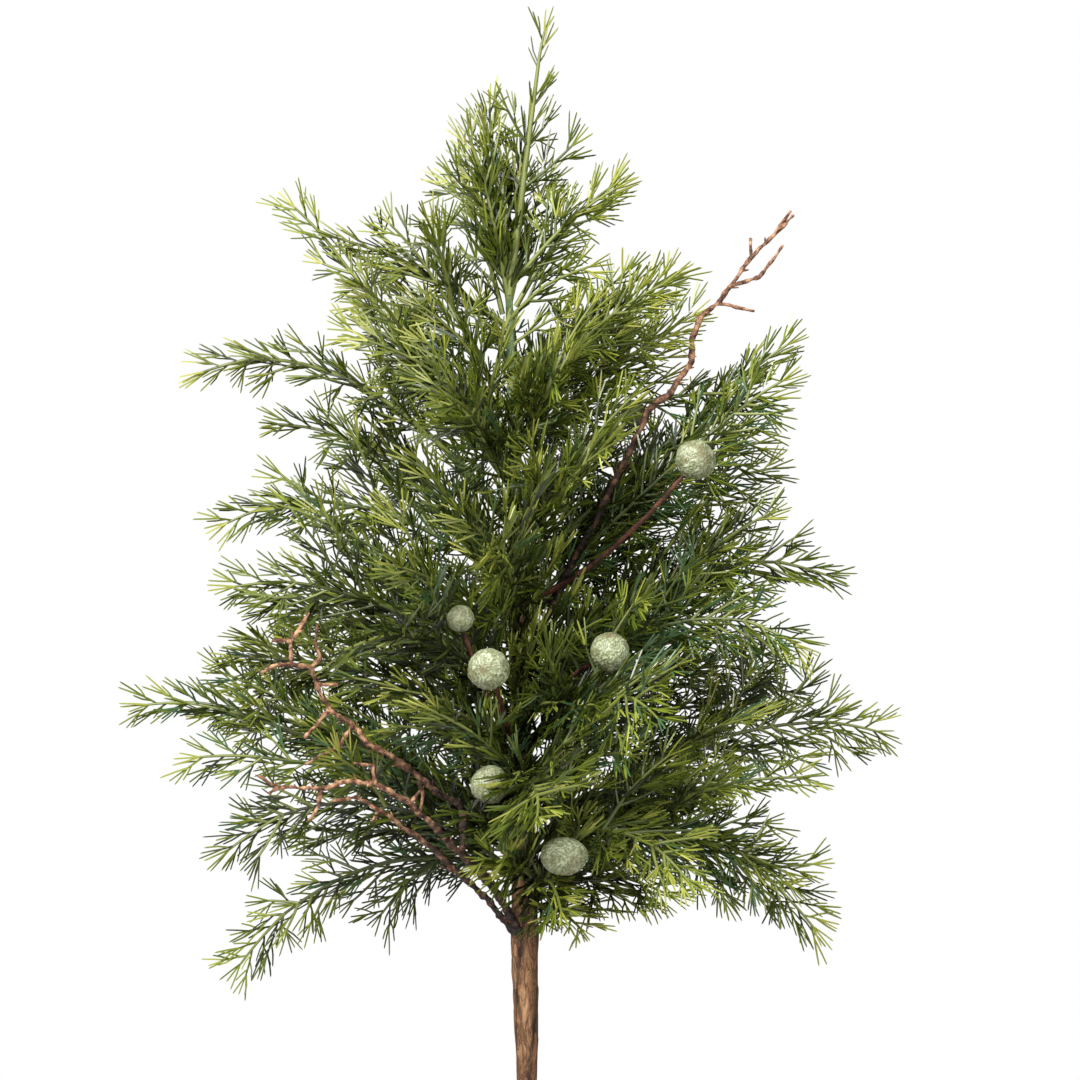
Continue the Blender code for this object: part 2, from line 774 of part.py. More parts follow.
def make_sprays():
    """The spray of each branch, and the leader's."""
    sprays = []
    for branch in BRANCHES:
        arc = branch_arc(branch)
        if branch.bare:
            start = branch.bare + CLEARANCE / arc.length()
        else:
            start = start_clear(arc, STEM_ROOT_RADIUS, STEM_SIDES)
        name = "foliage_" + branch.name
        spray = Spray(name, arc, start, branch.width, branch.roll, BLADE_PITCH, branch.tone)
        sprays.append(spray)
    root = trunk_point(TRUNK_TIP_HEIGHT) + UP * CLEARANCE
    arc = Arc(root, Vector((LEADER_TIP_RIGHT, 0, LEADER_TIP_HEIGHT)), 0)
    pitch = LEADER_BLADE_PITCH
    sprays.append(Spray("foliage_leader", arc, 0, LEADER_WIDTH, 0, pitch, "light", foot=UP))
    return sprays


def bough_line(branch):
    """Points and radii of a branch's bare bough."""
    arc = branch_arc(branch)
    start = start_clear(arc, BOUGH_ROOT_RADIUS, BOUGH_SIDES)
    return limb_line(arc, start, branch.bare, BOUGH_ROOT_RADIUS, BOUGH_TIP_RADIUS, BOUGH_RINGS)


def gather(sprays):
    """All limbs, cones and stems, for the rule that keeps each spray to its own space."""
    obstacles = Obstacles()
    obstacles.add_limb(*trunk_line())
    for branch in BRANCHES:
        if branch.bare:
            obstacles.add_limb(*bough_line(branch))
    for cone in CONES:
        obstacles.add_limb(*stalk_line(cone))
        obstacles.add_ball(cone_middle(cone), cone.radius)
    for twig in BARE_TWIGS:
        points, radii = kinked_line(twig)
        obstacles.add_limb(points, radii)
        for spur, thick in spur_lines(twig, points, radii):
            obstacles.add_limb(spur, thick)
    for spray in sprays:
        obstacles.add_axis(spray.name, spray.stem()[0])
    obstacles.settle()
    return obstacles


def build_bough(branch):
    """A bough, one tapering limb from the trunk to its spray's stem."""
    points, radii = bough_line(branch)
    name = "bough_" + branch.name
    last = branch_arc(branch).tangent(branch.bare)
    return new_object(name, limb_mesh(name, points, radii, BOUGH_SIDES, last=last), "bough")


def smooth(obj):
    """Shades a round piece smooth, with its edges kept sharp."""
    obj.data.shade_smooth()
    obj.data.set_sharp_from_angle(angle=math.radians(SHARP_ANGLE))


def main():
    """Clears the scene and builds every piece."""
    for obj in list(bpy.data.objects):
        bpy.data.objects.remove(obj)
    round_pieces = [build_pot(), build_fill(), build_trunk()]
    round_pieces += [build_bough(branch) for branch in BRANCHES if branch.bare]
    round_pieces += [build_cone(number, cone) for number, cone in enumerate(CONES, 1)]
    round_pieces += [build_bare_twig(twig) for twig in BARE_TWIGS]
    for obj in round_pieces:
        smooth(obj)
    sprays = make_sprays()
    obstacles = gather(sprays)
    for spray in sprays:
        spray.build(obstacles)


main()
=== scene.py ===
"""Artificial juniper in a plain clay pot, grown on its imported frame.

The limbs follow the solids' table of branches, with the tips set closer to the real plant's, and
the same seeded rule, which is written again here and carried on to finer twigs and needles.
Lengths are in millimetres and angles in degrees until a mesh is made, which is in metres. The
front is seen from -Y, with +X to the right and +Z up.
"""

import logging
import math
import random
from collections.abc import Callable, Iterable, Iterator, Sequence
from dataclasses import dataclass, replace
from enum import Enum

import bmesh
import bpy
import numpy as np
from mathutils import Matrix, Vector, noise


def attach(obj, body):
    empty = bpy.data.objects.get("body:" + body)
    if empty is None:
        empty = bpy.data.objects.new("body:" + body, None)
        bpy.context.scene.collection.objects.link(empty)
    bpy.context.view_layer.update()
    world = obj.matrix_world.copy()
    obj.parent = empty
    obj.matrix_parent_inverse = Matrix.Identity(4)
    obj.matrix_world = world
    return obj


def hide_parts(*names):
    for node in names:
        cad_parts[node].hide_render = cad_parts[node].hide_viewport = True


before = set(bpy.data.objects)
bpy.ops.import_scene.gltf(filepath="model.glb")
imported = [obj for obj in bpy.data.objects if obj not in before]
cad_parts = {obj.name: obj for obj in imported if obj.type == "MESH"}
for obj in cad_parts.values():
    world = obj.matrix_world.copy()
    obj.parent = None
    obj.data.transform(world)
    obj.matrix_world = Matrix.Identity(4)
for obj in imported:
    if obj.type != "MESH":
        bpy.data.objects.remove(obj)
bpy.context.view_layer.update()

logging.basicConfig(level=logging.INFO, format="%(message)s")
log = logging.getLogger("juniper")

Triple = tuple[float, float, float]
Socket = bpy.types.NodeSocket
Material = bpy.types.Material
Mesh = bpy.types.Mesh

MM = 0.001
UP = Vector((0.0, 0.0, 1.0))
SEED = 11
BODY = "root"
NEARLY_UPRIGHT = 0.2
START_STEP = 0.001


# Small helpers for places and directions


def polar(azimuth: float, reach: float, height: float) -> Vector:
    """The point at that azimuth and distance from the pot's axis, and that height."""
    angle = math.radians(azimuth)
    return Vector((reach * math.cos(angle), reach * math.sin(angle), height))


def spaced(first: float, last: float, count: int) -> list[float]:
    """Evenly spaced values from first to last."""
    return [first + (last - first) * i / (count - 1) for i in range(count)]


def turned(vector: Vector, axis: Vector, degrees: float) -> Vector:
    """The vector turned about an axis."""
    return Matrix.Rotation(math.radians(degrees), 3, axis) @ vector


def side_of(tangent: Vector) -> Vector:
    """A level direction square to the tangent, or near +X where it is almost upright."""
    level = tangent.cross(UP)
    if level.length < NEARLY_UPRIGHT:
        return (Vector((1, 0, 0)) - tangent * tangent.x).normalized()
    return level.normalized()


def skin_noise(along: float, angle: float, turns: float, size: float) -> float:
    """A smooth chance value on a tube's skin: turns is how fast it changes round the tube."""
    return noise.noise(Vector((math.cos(angle) * turns, math.sin(angle) * turns, along / size)))


def noise_place(chance: random.Random) -> Vector:
    """A place of its own in the noise."""
    return Vector([chance.uniform(0, 90) for _ in range(3)])


def linear(red: int, green: int, blue: int) -> Triple:
    """A colour given as it shows, from 0 to 255, in the linear values that shaders take."""

    def straight(value: float) -> float:
        share = value / 255
        return share / 12.92 if share <= 0.04045 else ((share + 0.055) / 1.055) ** 2.4

    return straight(red), straight(green), straight(blue)


class Arc:
    """A smooth curve from root to tip whose middle is lifted by arch."""

    def __init__(self, root: Vector, tip: Vector, arch: float) -> None:
        self.root = root
        self.tip = tip
        self.control = (root + tip) / 2 + UP * 2 * arch

    def point(self, t: float) -> Vector:
        """The point at a share t of the curve."""
        return self.root * (1 - t) ** 2 + self.control * 2 * t * (1 - t) + self.tip * t**2

    def tangent(self, t: float) -> Vector:
        """The curve's direction at a share t."""
        slope = (self.control - self.root) * (1 - t) + (self.tip - self.control) * t
        return slope.normalized()

    def length(self, steps: int = 24) -> float:
        """The curve's length, measured along short straight steps."""
        points = [self.point(i / steps) for i in range(steps + 1)]
        return sum((b - a).length for a, b in zip(points, points[1:]))


# The plant's table


class Tone(Enum):
    """How fresh a spray's needles are, partly painted light and shade. The value is added to their
    freshness: DARK sits mostly on sprays in the crown's lower half, LIGHT on those at its top.
    """

    LIGHT = 0.14
    MID = 0.02
    DARK = -0.12


LIGHT, MID, DARK = Tone


class Side(Enum):
    """The joined piece that a spray's twigs and needles belong to."""

    LEADER = "leader"
    LEFT_UPPER = "left_upper"
    LEFT_LOWER = "left_lower"
    RIGHT_UPPER = "right_upper"
    RIGHT_LOWER = "right_lower"
    FRONT_UPPER = "front_upper"
    FRONT_LOWER = "front_lower"
    BACK = "back"


@dataclass(frozen=True)
class Branch:
    """A branch with its spray of needles.

    azimuth is where its tip points (0 right, 90 back, 180 left, 270 front). root is its height
    on the trunk, reach and tip are its tip's distance from the pot's axis and height, and arch
    is how far its middle is lifted. bare is the share of it that is a bough without needles.
    width is its longest side twig, and roll turns its flat side from level (0) to upright (90).
    filled tells that smaller sprays rise from it and close the crown above it. variant picks
    another row of chances for its finer twigs.
    """

    name: str
    azimuth: float
    root: float
    reach: float
    tip: float
    arch: float
    bare: float
    width: float
    roll: float
    tone: Tone = MID
    filled: bool = True
    variant: int = 0

    @property
    def side(self) -> Side:
        """The joined piece that this branch belongs to."""
        way, number = self.name.split("_")
        if way == "back":
            return Side.BACK
        last_upper = {"left": 5, "right": 5, "front": 4}[way]
        half = "UPPER" if int(number) <= last_upper else "LOWER"
        return Side[f"{way.upper()}_{half}"]


BRANCHES = (
    Branch("left_1", 169, 498, 42, 594, 17, 0, 35, 83, LIGHT, False, 59),
    Branch("left_2", 195, 463, 74, 570, 7, 0, 44, 77, LIGHT, True, 41),
    Branch("left_3", 181, 428, 120, 580, 2, 0, 37, 75, LIGHT, True, 59),
    Branch("left_4", 182, 409, 171, 488, 36, 0.2, 38, 40, LIGHT, False, 0),
    Branch("left_5", 160, 393, 145, 468, 15, 0, 35, 54, MID, True, 87),
    Branch("left_6", 179, 378, 160, 413, 26, 0, 42, 69, MID, True, 42),
    Branch("left_7", 192, 330, 156, 384, 18, 0.16, 59, 71, MID, True, 0),
    Branch("left_8", 172, 256, 204, 324, 18, 0.17, 39, 74, MID, True, 28),
    Branch("left_9", 193, 234, 159, 251, 32, 0, 46, 72, DARK, True, 0),
    Branch("left_10", 163, 235, 163, 184, 30, 0.16, 42, 90, MID, False, 0),
    Branch("left_11", 151, 233, 95, 210, 21, 0, 41, 72, DARK, True, 69),
    Branch("right_1", 6, 516, 48, 590, 8, 0, 34, 83, LIGHT, False, 39),
    Branch("right_2", 349, 463, 80, 544, 3, 0, 46, 79, LIGHT, False, 61),
    Branch("right_3", 19, 451, 94, 526, 0, 0, 50, 64, LIGHT, True, 0),
    Branch("right_4", 359, 387, 136, 510, 1, 0.18, 40, 48, MID, False, 50),
    Branch("right_5", 14, 360, 136, 446, 13, 0, 59, 62, MID, True, 86),
    Branch("right_6", 6, 322, 161, 387, 31, 0.16, 50, 48, MID, True, 0),
    Branch("right_7", 344, 313, 147, 353, 30, 0, 53, 76, MID, True, 0),
    Branch("right_8", 10, 250, 190, 309, 24, 0.16, 58, 77, MID, True, 0),
    Branch("right_9", 353, 232, 152, 210, 35, 0.16, 57, 84, MID, True, 0),
    Branch("right_10", 329, 221, 91, 232, 12, 0, 38, 51, MID, True, 12),
    Branch("front_1", 291, 443, 76, 499, 7, 0, 43, 42, LIGHT, True, 43),
    Branch("front_2", 243, 421, 91, 479, 11, 0, 48, 54, MID, True, 0),
    Branch("front_3", 297, 392, 101, 455, 9, 0, 49, 49, LIGHT, True, 71),
    Branch("front_4", 262, 360, 119, 402, 14, 0, 54, 57, LIGHT, True, 5),
    Branch("front_5", 230, 320, 141, 353, 19, 0, 51, 45, DARK, True, 10),
    Branch("front_6", 298, 295, 144, 321, 21, 0, 59, 49, MID, True, 84),
    Branch("front_7", 273, 273, 149, 275, 14, 0, 56, 32, MID, True, 63),
    Branch("front_8", 310, 245, 132, 240, 21, 0, 56, 32, LIGHT, True, 85),
    Branch("front_9", 284, 224, 87, 225, 14, 0, 43, 39, LIGHT, True, 63),
    Branch("back_1", 82, 454, 87, 501, 14, 0, 46, 61, MID, True, 42),
    Branch("back_2", 129, 436, 112, 478, 16, 0, 48, 48, DARK, True, 46),
    Branch("back_3", 55, 406, 112, 445, 14, 0, 53, 56, MID, True, 82),
    Branch("back_4", 98, 351, 128, 393, 17, 0, 58, 36, MID, True, 69),
    Branch("back_5", 145, 321, 146, 352, 21, 0, 61, 45, MID, True, 0),
    Branch("back_6", 32, 282, 158, 333, 26, 0, 72, 54, DARK, True, 55),
    Branch("back_7", 96, 246, 149, 262, 23, 0, 59, 55, MID, True, 31),
)


@dataclass(frozen=True)
class Sprig:
    """A small spray that fills the crown: the height of its foot on the trunk, and its tip."""

    root: float
    tip: Triple
    tone: Tone = MID
    width: float = 36
    roll: float = 55
    variant: int = 0
    sides_from: float = 60
    upper_from: float = 330

    @property
    def side(self) -> Side:
        """The joined piece that this sprig belongs to."""
        x = self.tip[0]
        way = "FRONT" if abs(x) < self.sides_from else "LEFT" if x < 0 else "RIGHT"
        half = "UPPER" if self.root > self.upper_from else "LOWER"
        return Side[f"{way}_{half}"]


SPRIGS = (
    Sprig(284, (-4, -92, 290), DARK, 40, 20),
    Sprig(246, (-34, -80, 278), DARK, 36, 35),
    Sprig(268, (-8, -86, 276), DARK, 34, 60),
    Sprig(399, (-13, -52, 438), MID, 42, 58, 77),
    Sprig(406, (25, -52, 447), DARK, 35, 59, 92),
    Sprig(351, (19, -50, 405), LIGHT, 34, 59, 61),
    Sprig(350, (-13, -50, 402), MID, 36, 55, 18),
    Sprig(349, (-66, -64, 397), LIGHT, 32, 50, 72),
    Sprig(340, (-30, -45, 383), MID, 36, 54, 26),
    Sprig(326, (42, -61, 372), DARK, 34, 58, 46),
    Sprig(315, (5, -56, 369), LIGHT, 36, 60, 90),
    Sprig(329, (26, -35, 384), MID, 36, 55, 13),
    Sprig(312, (-10, -44, 354), LIGHT, 37, 54, 38),
    Sprig(310, (18, -63, 329), MID, 35, 45, 98),
    Sprig(300, (37, -100, 330), DARK, 36, 52, 43),
    Sprig(300, (-69, -25, 336), LIGHT, 37, 70, 7),
    Sprig(290, (-45, -56, 329), MID, 36, 53, 0),
    Sprig(283, (-14, -50, 322), LIGHT, 35, 57, 18),
    Sprig(280, (55, -104, 306), MID, 35, 57, 68),
    Sprig(270, (-28, -58, 303), DARK, 35, 56, 44),
    Sprig(262, (27, -60, 292), LIGHT, 36, 55, 2),
    Sprig(257, (-12, -50, 292), MID, 37, 59, 60),
    Sprig(232, (-10, -64, 256), LIGHT, 39, 62, 73),
    Sprig(233, (3, -49, 255), MID, 38, 64, 73),
    Sprig(236, (18, -69, 220), DARK, 36, 40, 8),
    Sprig(221, (33, -58, 215), LIGHT, 46, 20, 24),
    Sprig(240, (62, -47, 225), MID, 34, 40, 13),
    Sprig(450, (-95, -9, 516), LIGHT, 43, 90, 39),
    Sprig(500, (24, -10, 524), LIGHT, 26, 54, 44),
    Sprig(318, (-154, -17, 350), MID, 61, 47, 48),
    Sprig(337, (-137, 14, 374), MID, 46, 49, 80),
    Sprig(270, (-171, -22, 301), MID, 33, 89, 13),
    Sprig(296, (-92, -27, 342), DARK, 42, 73, 16),
    Sprig(287, (-70, -36, 318), DARK, 37, 63, 54),
    Sprig(366, (132, -21, 491), MID, 49, 70, 44),
    Sprig(319, (127, -14, 425), MID, 51, 51, 77),
    Sprig(269, (137, -26, 241), MID, 48, 71, 99),
    Sprig(254, (145, -7, 290), MID, 34, 45, 10),
    Sprig(267, (113, -31, 287), MID, 43, 50, 9),
    Sprig(511, (-103, -8, 560), LIGHT, 39, 31, 56),
    Sprig(457, (-86, -20, 510), LIGHT, 26, 85, 48),
    Sprig(261, (-178, -3, 328), MID, 42, 49, 80),
    Sprig(458, (122, -6, 480), MID, 26, 72, 26),
    Sprig(515, (38, -23, 546), LIGHT, 33, 77, 6),
    Sprig(254, (-119, 2, 255), DARK, 26, 42, 1),
    Sprig(354, (-132, -23, 429), MID, 24, 85, 82),
    Sprig(393, (123, -7, 459), MID, 42, 85, 14),
    Sprig(522, (-29, -17, 614), LIGHT, 47, 72, 6),
    Sprig(526, (2, 14, 626), LIGHT, 28, 78, 4),
    Sprig(522, (13, 25, 600), LIGHT, 36, 65, 65),
    Sprig(520, (-24, -5, 621), LIGHT, 34, 44, 72),
    Sprig(520, (-21, -1, 630), LIGHT, 41, 58, 23),
    Sprig(530, (50, -8, 587), LIGHT, 35, 70, 0),
    Sprig(471, (74, -24, 538), LIGHT, 44, 66, 9),
    Sprig(325, (118, 1, 388), MID, 47, 75, 55),
    Sprig(242, (-158, -10, 345), MID, 30, 62, 36),
)


@dataclass(frozen=True)
class Cone:
    """A round cone on its stalk: where its middle is, its stalk's root height, its radius."""

    azimuth: float
    reach: float
    height: float
    root: float
    radius: float
    stretch: float = 1
    arch: float = 4

    @property
    def middle(self) -> Vector:
        """The middle of the cone."""
        return polar(self.azimuth, self.reach, self.height)


CONES = (
    Cone(330, 95, 444, 372, 10.5, arch=-10),
    Cone(8, 54, 469, 424, 7),
    Cone(242, 68, 367, 306, 7, arch=-12),
    Cone(258, 87, 343.5, 282, 10.5),
    Cone(302, 76, 351, 310, 10),
    Cone(250, 52, 286, 236, 10),
    Cone(286, 66, 252.5, 216, 10.5, 1.15),
)


@dataclass(frozen=True)
class BareTwig:
    """A knobbly twig with no needles, drawn as it looks from the front.

    path and spurs are lines of (x, height) points, and azimuth sets how deep they lie.
    """

    name: str
    azimuth: float
    path: tuple[tuple[float, float], ...]
    spurs: tuple[tuple[tuple[float, float], ...], ...]

    def line(self, points: Sequence[tuple[float, float]]) -> list[Vector]:
        """Points of a line drawn from the front, set at their depth."""
        slope = math.tan(math.radians(self.azimuth))
        return [Vector((x, x * slope, height)) for x, height in points]


BARE_TWIGS = (
    BareTwig(
        "right_tall", 352,
        ((-4, 336), (8, 362), (20, 388), (29, 406), (33, 412), (47, 441), (61, 470), (70, 477),
         (82, 494), (82, 504), (87, 516), (95, 523), (102, 532), (111, 545), (123, 557),
         (131, 568)),
        (((95, 522), (102, 521), (113, 518)), ((102, 531), (115, 535), (120, 542), (127, 551)),
         ((111, 545), (111, 555)), ((123, 557), (132, 566))),
    ),
    BareTwig(
        "left_upper", 206,
        ((-5, 208), (-11, 222), (-21, 239), (-32, 249), (-31, 265), (-33, 274), (-43, 279),
         (-53, 288), (-64, 297), (-78, 306), (-85, 315), (-96, 322), (-102, 335), (-105, 343),
         (-114, 345), (-114, 356), (-110, 362), (-106, 370)),
        (((-105, 343), (-100, 348), (-103, 356), (-102, 364)), ((-114, 356), (-123, 357)),
         ((-114, 345), (-122, 344), (-129, 341)), ((-102, 335), (-92, 334)),
         ((-96, 322), (-102, 316), (-108, 309)), ((-85, 315), (-92, 304), (-108, 296)),
         ((-53, 288), (-51, 279), (-53, 268))),
    ),
    BareTwig(
        "left_middle", 214,
        ((-4, 210), (-13, 226), (-24, 241), (-37, 254), (-48, 267), (-57, 276), (-66, 282),
         (-74, 287), (-88, 288), (-99, 285), (-119, 287), (-128, 293)),
        (((-119, 287), (-123, 284)), ((-99, 285), (-100, 277), (-105, 270)),
         ((-74, 287), (-75, 296), (-84, 297)), ((-57, 276), (-52, 282))),
    ),
    BareTwig(
        "left_lower", 203,
        ((-3, 205), (-11, 215), (-20, 227), (-34, 240), (-48, 254), (-60, 263), (-72, 272),
         (-84, 279), (-96, 277)),
        (((-72, 272), (-76, 267)), ((-34, 240), (-43, 243))),
    ),
)


# Finishes


def socket_of(sockets: Iterable[Socket], key: str | int) -> Socket:
    """The socket with that identifier, or else with that name or number."""
    return next((s for s in sockets if s.identifier == key), None) or sockets[key]


class Graph:
    """A node tree that is grown node by node."""

    def __init__(self, tree: bpy.types.NodeTree) -> None:
        self.tree = tree
        self.identifiers: dict[str, str] = {}

    def add(
        self, kind: str, feeds: dict[str | int, object] | None = None, **settings: object
    ) -> bpy.types.Node:
        """Adds a node.

        Args:
            kind: the node's type.
            feeds: a socket or a constant for each input that is not left as it is.
            settings: the node's options.

        Returns:
            The node.
        """
        made = self.tree.nodes.new(kind)
        for key, value in settings.items():
            setattr(made, key, value)
        for key, value in (feeds or {}).items():
            target = socket_of(made.inputs, key)
            if isinstance(value, Socket):
                self.tree.links.new(value, target)
            else:
                target.default_value = value
        return made

    def inputs(self, kinds: dict[str, str]) -> bpy.types.NodeOutputs:
        """Gives a group its inputs, by label and kind.

        Args:
            kinds: the kind of each input, by its label.

        Returns:
            The group's inputs, to be linked from.
        """
        for label, kind in kinds.items():
            self.identifiers[label] = self.tree.interface.new_socket(
                label, in_out="INPUT", socket_type=f"NodeSocket{kind}"
            ).identifier
        return self.add("NodeGroupInput").outputs

    def outputs(self, kind: str, ends: dict[str, Socket]) -> None:
        """Gives a group its outputs, all of one kind.

        Args:
            kind: the kind of them all.
            ends: what goes out, by label.
        """
        for label in ends:
            self.tree.interface.new_socket(
                label, in_out="OUTPUT", socket_type=f"NodeSocket{kind}"
            )
        self.add("NodeGroupOutput", ends)

    def math(self, operation: str, *values: Socket | float, clamp: bool = False) -> Socket:
        """A sum of sockets and constants."""
        feeds = dict(enumerate(values))
        return self.add("ShaderNodeMath", feeds, operation=operation, use_clamp=clamp).outputs[0]

    def between(self, value: Socket, low: float, high: float) -> Socket:
        """How far a value is on its way from low to high."""
        feeds = {"Value": value, "From Min": low, "From Max": high}
        return self.add("ShaderNodeMapRange", feeds).outputs["Result"]


class Shades(Graph):
    """One material's node tree, grown round its main shader."""

    def __init__(self, name: str, roughness: float) -> None:
        self.material = bpy.data.materials.new(name)
        self.material.use_nodes = True
        super().__init__(self.material.node_tree)
        self.shader = self.tree.nodes["Principled BSDF"]
        self.shader.inputs["Roughness"].default_value = roughness

    def place(self, scale: Triple = (1, 1, 1)) -> Socket:
        """The place on the piece in metres, stretched by scale."""
        feeds = {"Vector": self.add("ShaderNodeTexCoord").outputs["Object"], "Scale": scale}
        return self.add("ShaderNodeMapping", feeds).outputs["Vector"]

    def reach(self) -> Socket:
        """The distance from the pot's axis in metres."""
        level = {0: self.place((1, 1, 0))}
        return self.add("ShaderNodeVectorMath", level, operation="LENGTH").outputs["Value"]

    def use(
        self, effect: bpy.types.NodeTree, scale: float, stretch: Triple = (1, 1, 1)
    ) -> tuple[Socket, Socket]:
        """The mask and the height of a shared effect at that scale.

        Args:
            effect: the effect's group.
            scale: its fineness.
            stretch: how the place is stretched before it.

        Returns:
            The two sockets.
        """
        feeds = {"Vector": self.place(stretch), "Scale": scale}
        made = self.add("ShaderNodeGroup", feeds, node_tree=effect).outputs
        return made["Mask"], made["Height"]

    def attribute(self, name: str) -> Socket:
        """A number stored on the mesh."""
        return self.add("ShaderNodeAttribute", attribute_name=name).outputs["Fac"]

    def ramp(self, mask: Socket, *stops: tuple[float, Triple]) -> Socket:
        """Colours a mask from 0 to 1 by its stops.

        Args:
            mask: the value that picks the colour.
            stops: pairs of place and colour, in order.

        Returns:
            The colour's socket.
        """
        made = self.add("ShaderNodeValToRGB", {"Fac": mask})
        elements = made.color_ramp.elements
        while len(elements) < len(stops):
            elements.new(0.5)
        for element, (position, colour) in zip(elements, stops):
            element.position = position
            element.color = (*colour, 1)
        return made.outputs["Color"]

    def mix(self, mask: Socket, low: Socket, high: Socket) -> Socket:
        """Mixes two colours by a mask."""
        feeds = {"Factor": mask, "A_Color": low, "B_Color": high}
        return socket_of(self.add("ShaderNodeMix", feeds, data_type="RGBA").outputs, "Result_Color")

    def bump(self, height: Socket, distance: float, strength: float = 1.0) -> None:
        """Drives the surface's relief by a height."""
        feeds = {"Height": height, "Distance": distance * MM, "Strength": strength}
        normal = self.add("ShaderNodeBump", feeds).outputs["Normal"]
        self.tree.links.new(normal, self.shader.inputs["Normal"])

    def colour(self, socket: Socket) -> None:
        """Drives the base colour."""
        self.tree.links.new(socket, self.shader.inputs["Base Color"])


class Effects:
    """The effects that several finishes share, as groups that give a mask and a height."""

    def __init__(self) -> None:
        self.crumple = self.make_crumple()
        self.mottle = self.make_mottle()

    @staticmethod
    def start(name: str) -> tuple[Graph, dict[str, Socket]]:
        """A new group, with the place and the scale that go into it."""
        graph = Graph(bpy.data.node_groups.new(name, "ShaderNodeTree"))
        given = graph.inputs({"Vector": "Vector", "Scale": "Float"})
        return graph, {label: given[label] for label in ("Vector", "Scale")}

    def make_crumple(self) -> bpy.types.NodeTree:
        """Creases of crumpled skin: ridges where a noise passes its middle."""
        graph, where = self.start("Crumple")
        feeds = where | {"Detail": 6, "Roughness": 0.6, "Distortion": 0.8}
        grain = graph.add("ShaderNodeTexNoise", feeds).outputs["Fac"]
        folded = graph.math("ABSOLUTE", graph.math("SUBTRACT", grain, 0.5))
        ridges = graph.between(folded, 0, 0.14)
        graph.outputs("Float", {"Mask": ridges, "Height": ridges})
        return graph.tree

    def make_mottle(self) -> bpy.types.NodeTree:
        """Soft patches with a fine grain on them."""
        graph, where = self.start("Mottle")
        feeds = where | {"Detail": 4, "Roughness": 0.55}
        patches = graph.add("ShaderNodeTexNoise", feeds).outputs["Fac"]
        finer = graph.math("MULTIPLY", where["Scale"], 7)
        feeds = {"Vector": where["Vector"], "Scale": finer, "Detail": 3}
        grain = graph.add("ShaderNodeTexNoise", feeds).outputs["Fac"]
        graph.outputs("Float", {"Mask": graph.between(patches, 0.32, 0.68), "Height": grain})
        return graph.tree


@dataclass(frozen=True)
class Plastic:
    """Moulded plastic in one plain colour."""

    name: str
    colour: Triple
    roughness: float = 0.5
    specular: float = 0.75

    def build(self) -> Material:
        """The plain material."""
        made = Shades(self.name, self.roughness)
        made.shader.inputs["Specular IOR Level"].default_value = self.specular
        made.shader.inputs["Base Color"].default_value = (*self.colour, 1)
        return made.material


# Needle plastic from the deep base shade to the fresh tips, and the bluish one in between. The
# darkest are partly painted shade, given to needles deep in the crown.
NEEDLE_SHADES = (
    Plastic("needle_deep", linear(22, 28, 3), 0.4),
    Plastic("needle_forest", linear(42, 54, 8), 0.36),
    Plastic("needle_green", linear(76, 90, 20), 0.34),
    Plastic("needle_leaf", linear(108, 120, 36), 0.34),
    Plastic("needle_fresh", linear(142, 148, 58), 0.36),
    Plastic("needle_yellow", linear(170, 172, 84), 0.4),
    Plastic("needle_bluish", linear(66, 94, 56), 0.34),
)
BLUISH = 6
FRESHEST = 5

# Plastic of the spray stems and side twigs, from the bough outwards
STEM_SHADES = (
    Plastic("stem_dark", linear(36, 42, 8)),
    Plastic("stem_green", linear(72, 84, 26)),
    Plastic("stem_pale", linear(112, 120, 52)),
)


@dataclass(frozen=True)
class Tape:
    """Brown paper tape round the trunk's wires, giving way to green moulding high up, with painted
    shade in its creases and grooves.
    """

    light: Triple = linear(190, 150, 110)
    middle: Triple = linear(140, 100, 66)
    ruddy: Triple = linear(116, 74, 54)
    dark: Triple = linear(74, 46, 26)
    # The next three give the painted shade in the grooves: its colour, and the relief depths where
    # it is full and where it ends
    groove_shade: Triple = linear(40, 24, 14)
    groove_shade_depth: float = -0.5
    groove_shade_rim: float = -0.02
    moulding: Triple = linear(84, 104, 60)
    moulding_light: Triple = linear(128, 148, 104)
    moulding_from: float = 330
    moulding_full: float = 440

    def build(self, effects: Effects) -> Material:
        """The tape's material.

        Args:
            effects: the shared effects.

        Returns:
            The material.
        """
        made = Shades("paper_tape", 0.7)
        creases, height = made.use(effects.crumple, 230, (1, 1, 0.3))
        patches, _ = made.use(effects.mottle, 90, (1, 1, 0.35))
        # Painted shade: the creases of the crumpled tape are coloured darker
        paper = made.ramp(creases, (0, self.dark), (0.4, self.middle), (1, self.middle))
        aged = made.ramp(
            patches, (0, self.dark), (0.25, self.ruddy), (0.5, self.middle), (1, self.light)
        )
        brown = made.mix(made.math("MULTIPLY", creases, 0.7), paper, aged)
        # Painted shade: where the skin lies below its radius, in the grooves between the wires and
        # under the tape's edge, it darkens further
        raised = made.between(made.attribute("relief"), self.groove_shade_depth, self.groove_shade_rim)
        brown = made.mix(raised, made.ramp(creases, (0, self.groove_shade), (1, self.dark)), brown)
        level = made.add("ShaderNodeSeparateXYZ", {0: made.place()}).outputs["Z"]
        rise = made.between(level, self.moulding_from * MM, self.moulding_full * MM)
        green = made.ramp(patches, (0, self.moulding), (1, self.moulding_light))
        made.colour(made.mix(rise, brown, green))
        made.bump(height, 0.8)
        return made.material


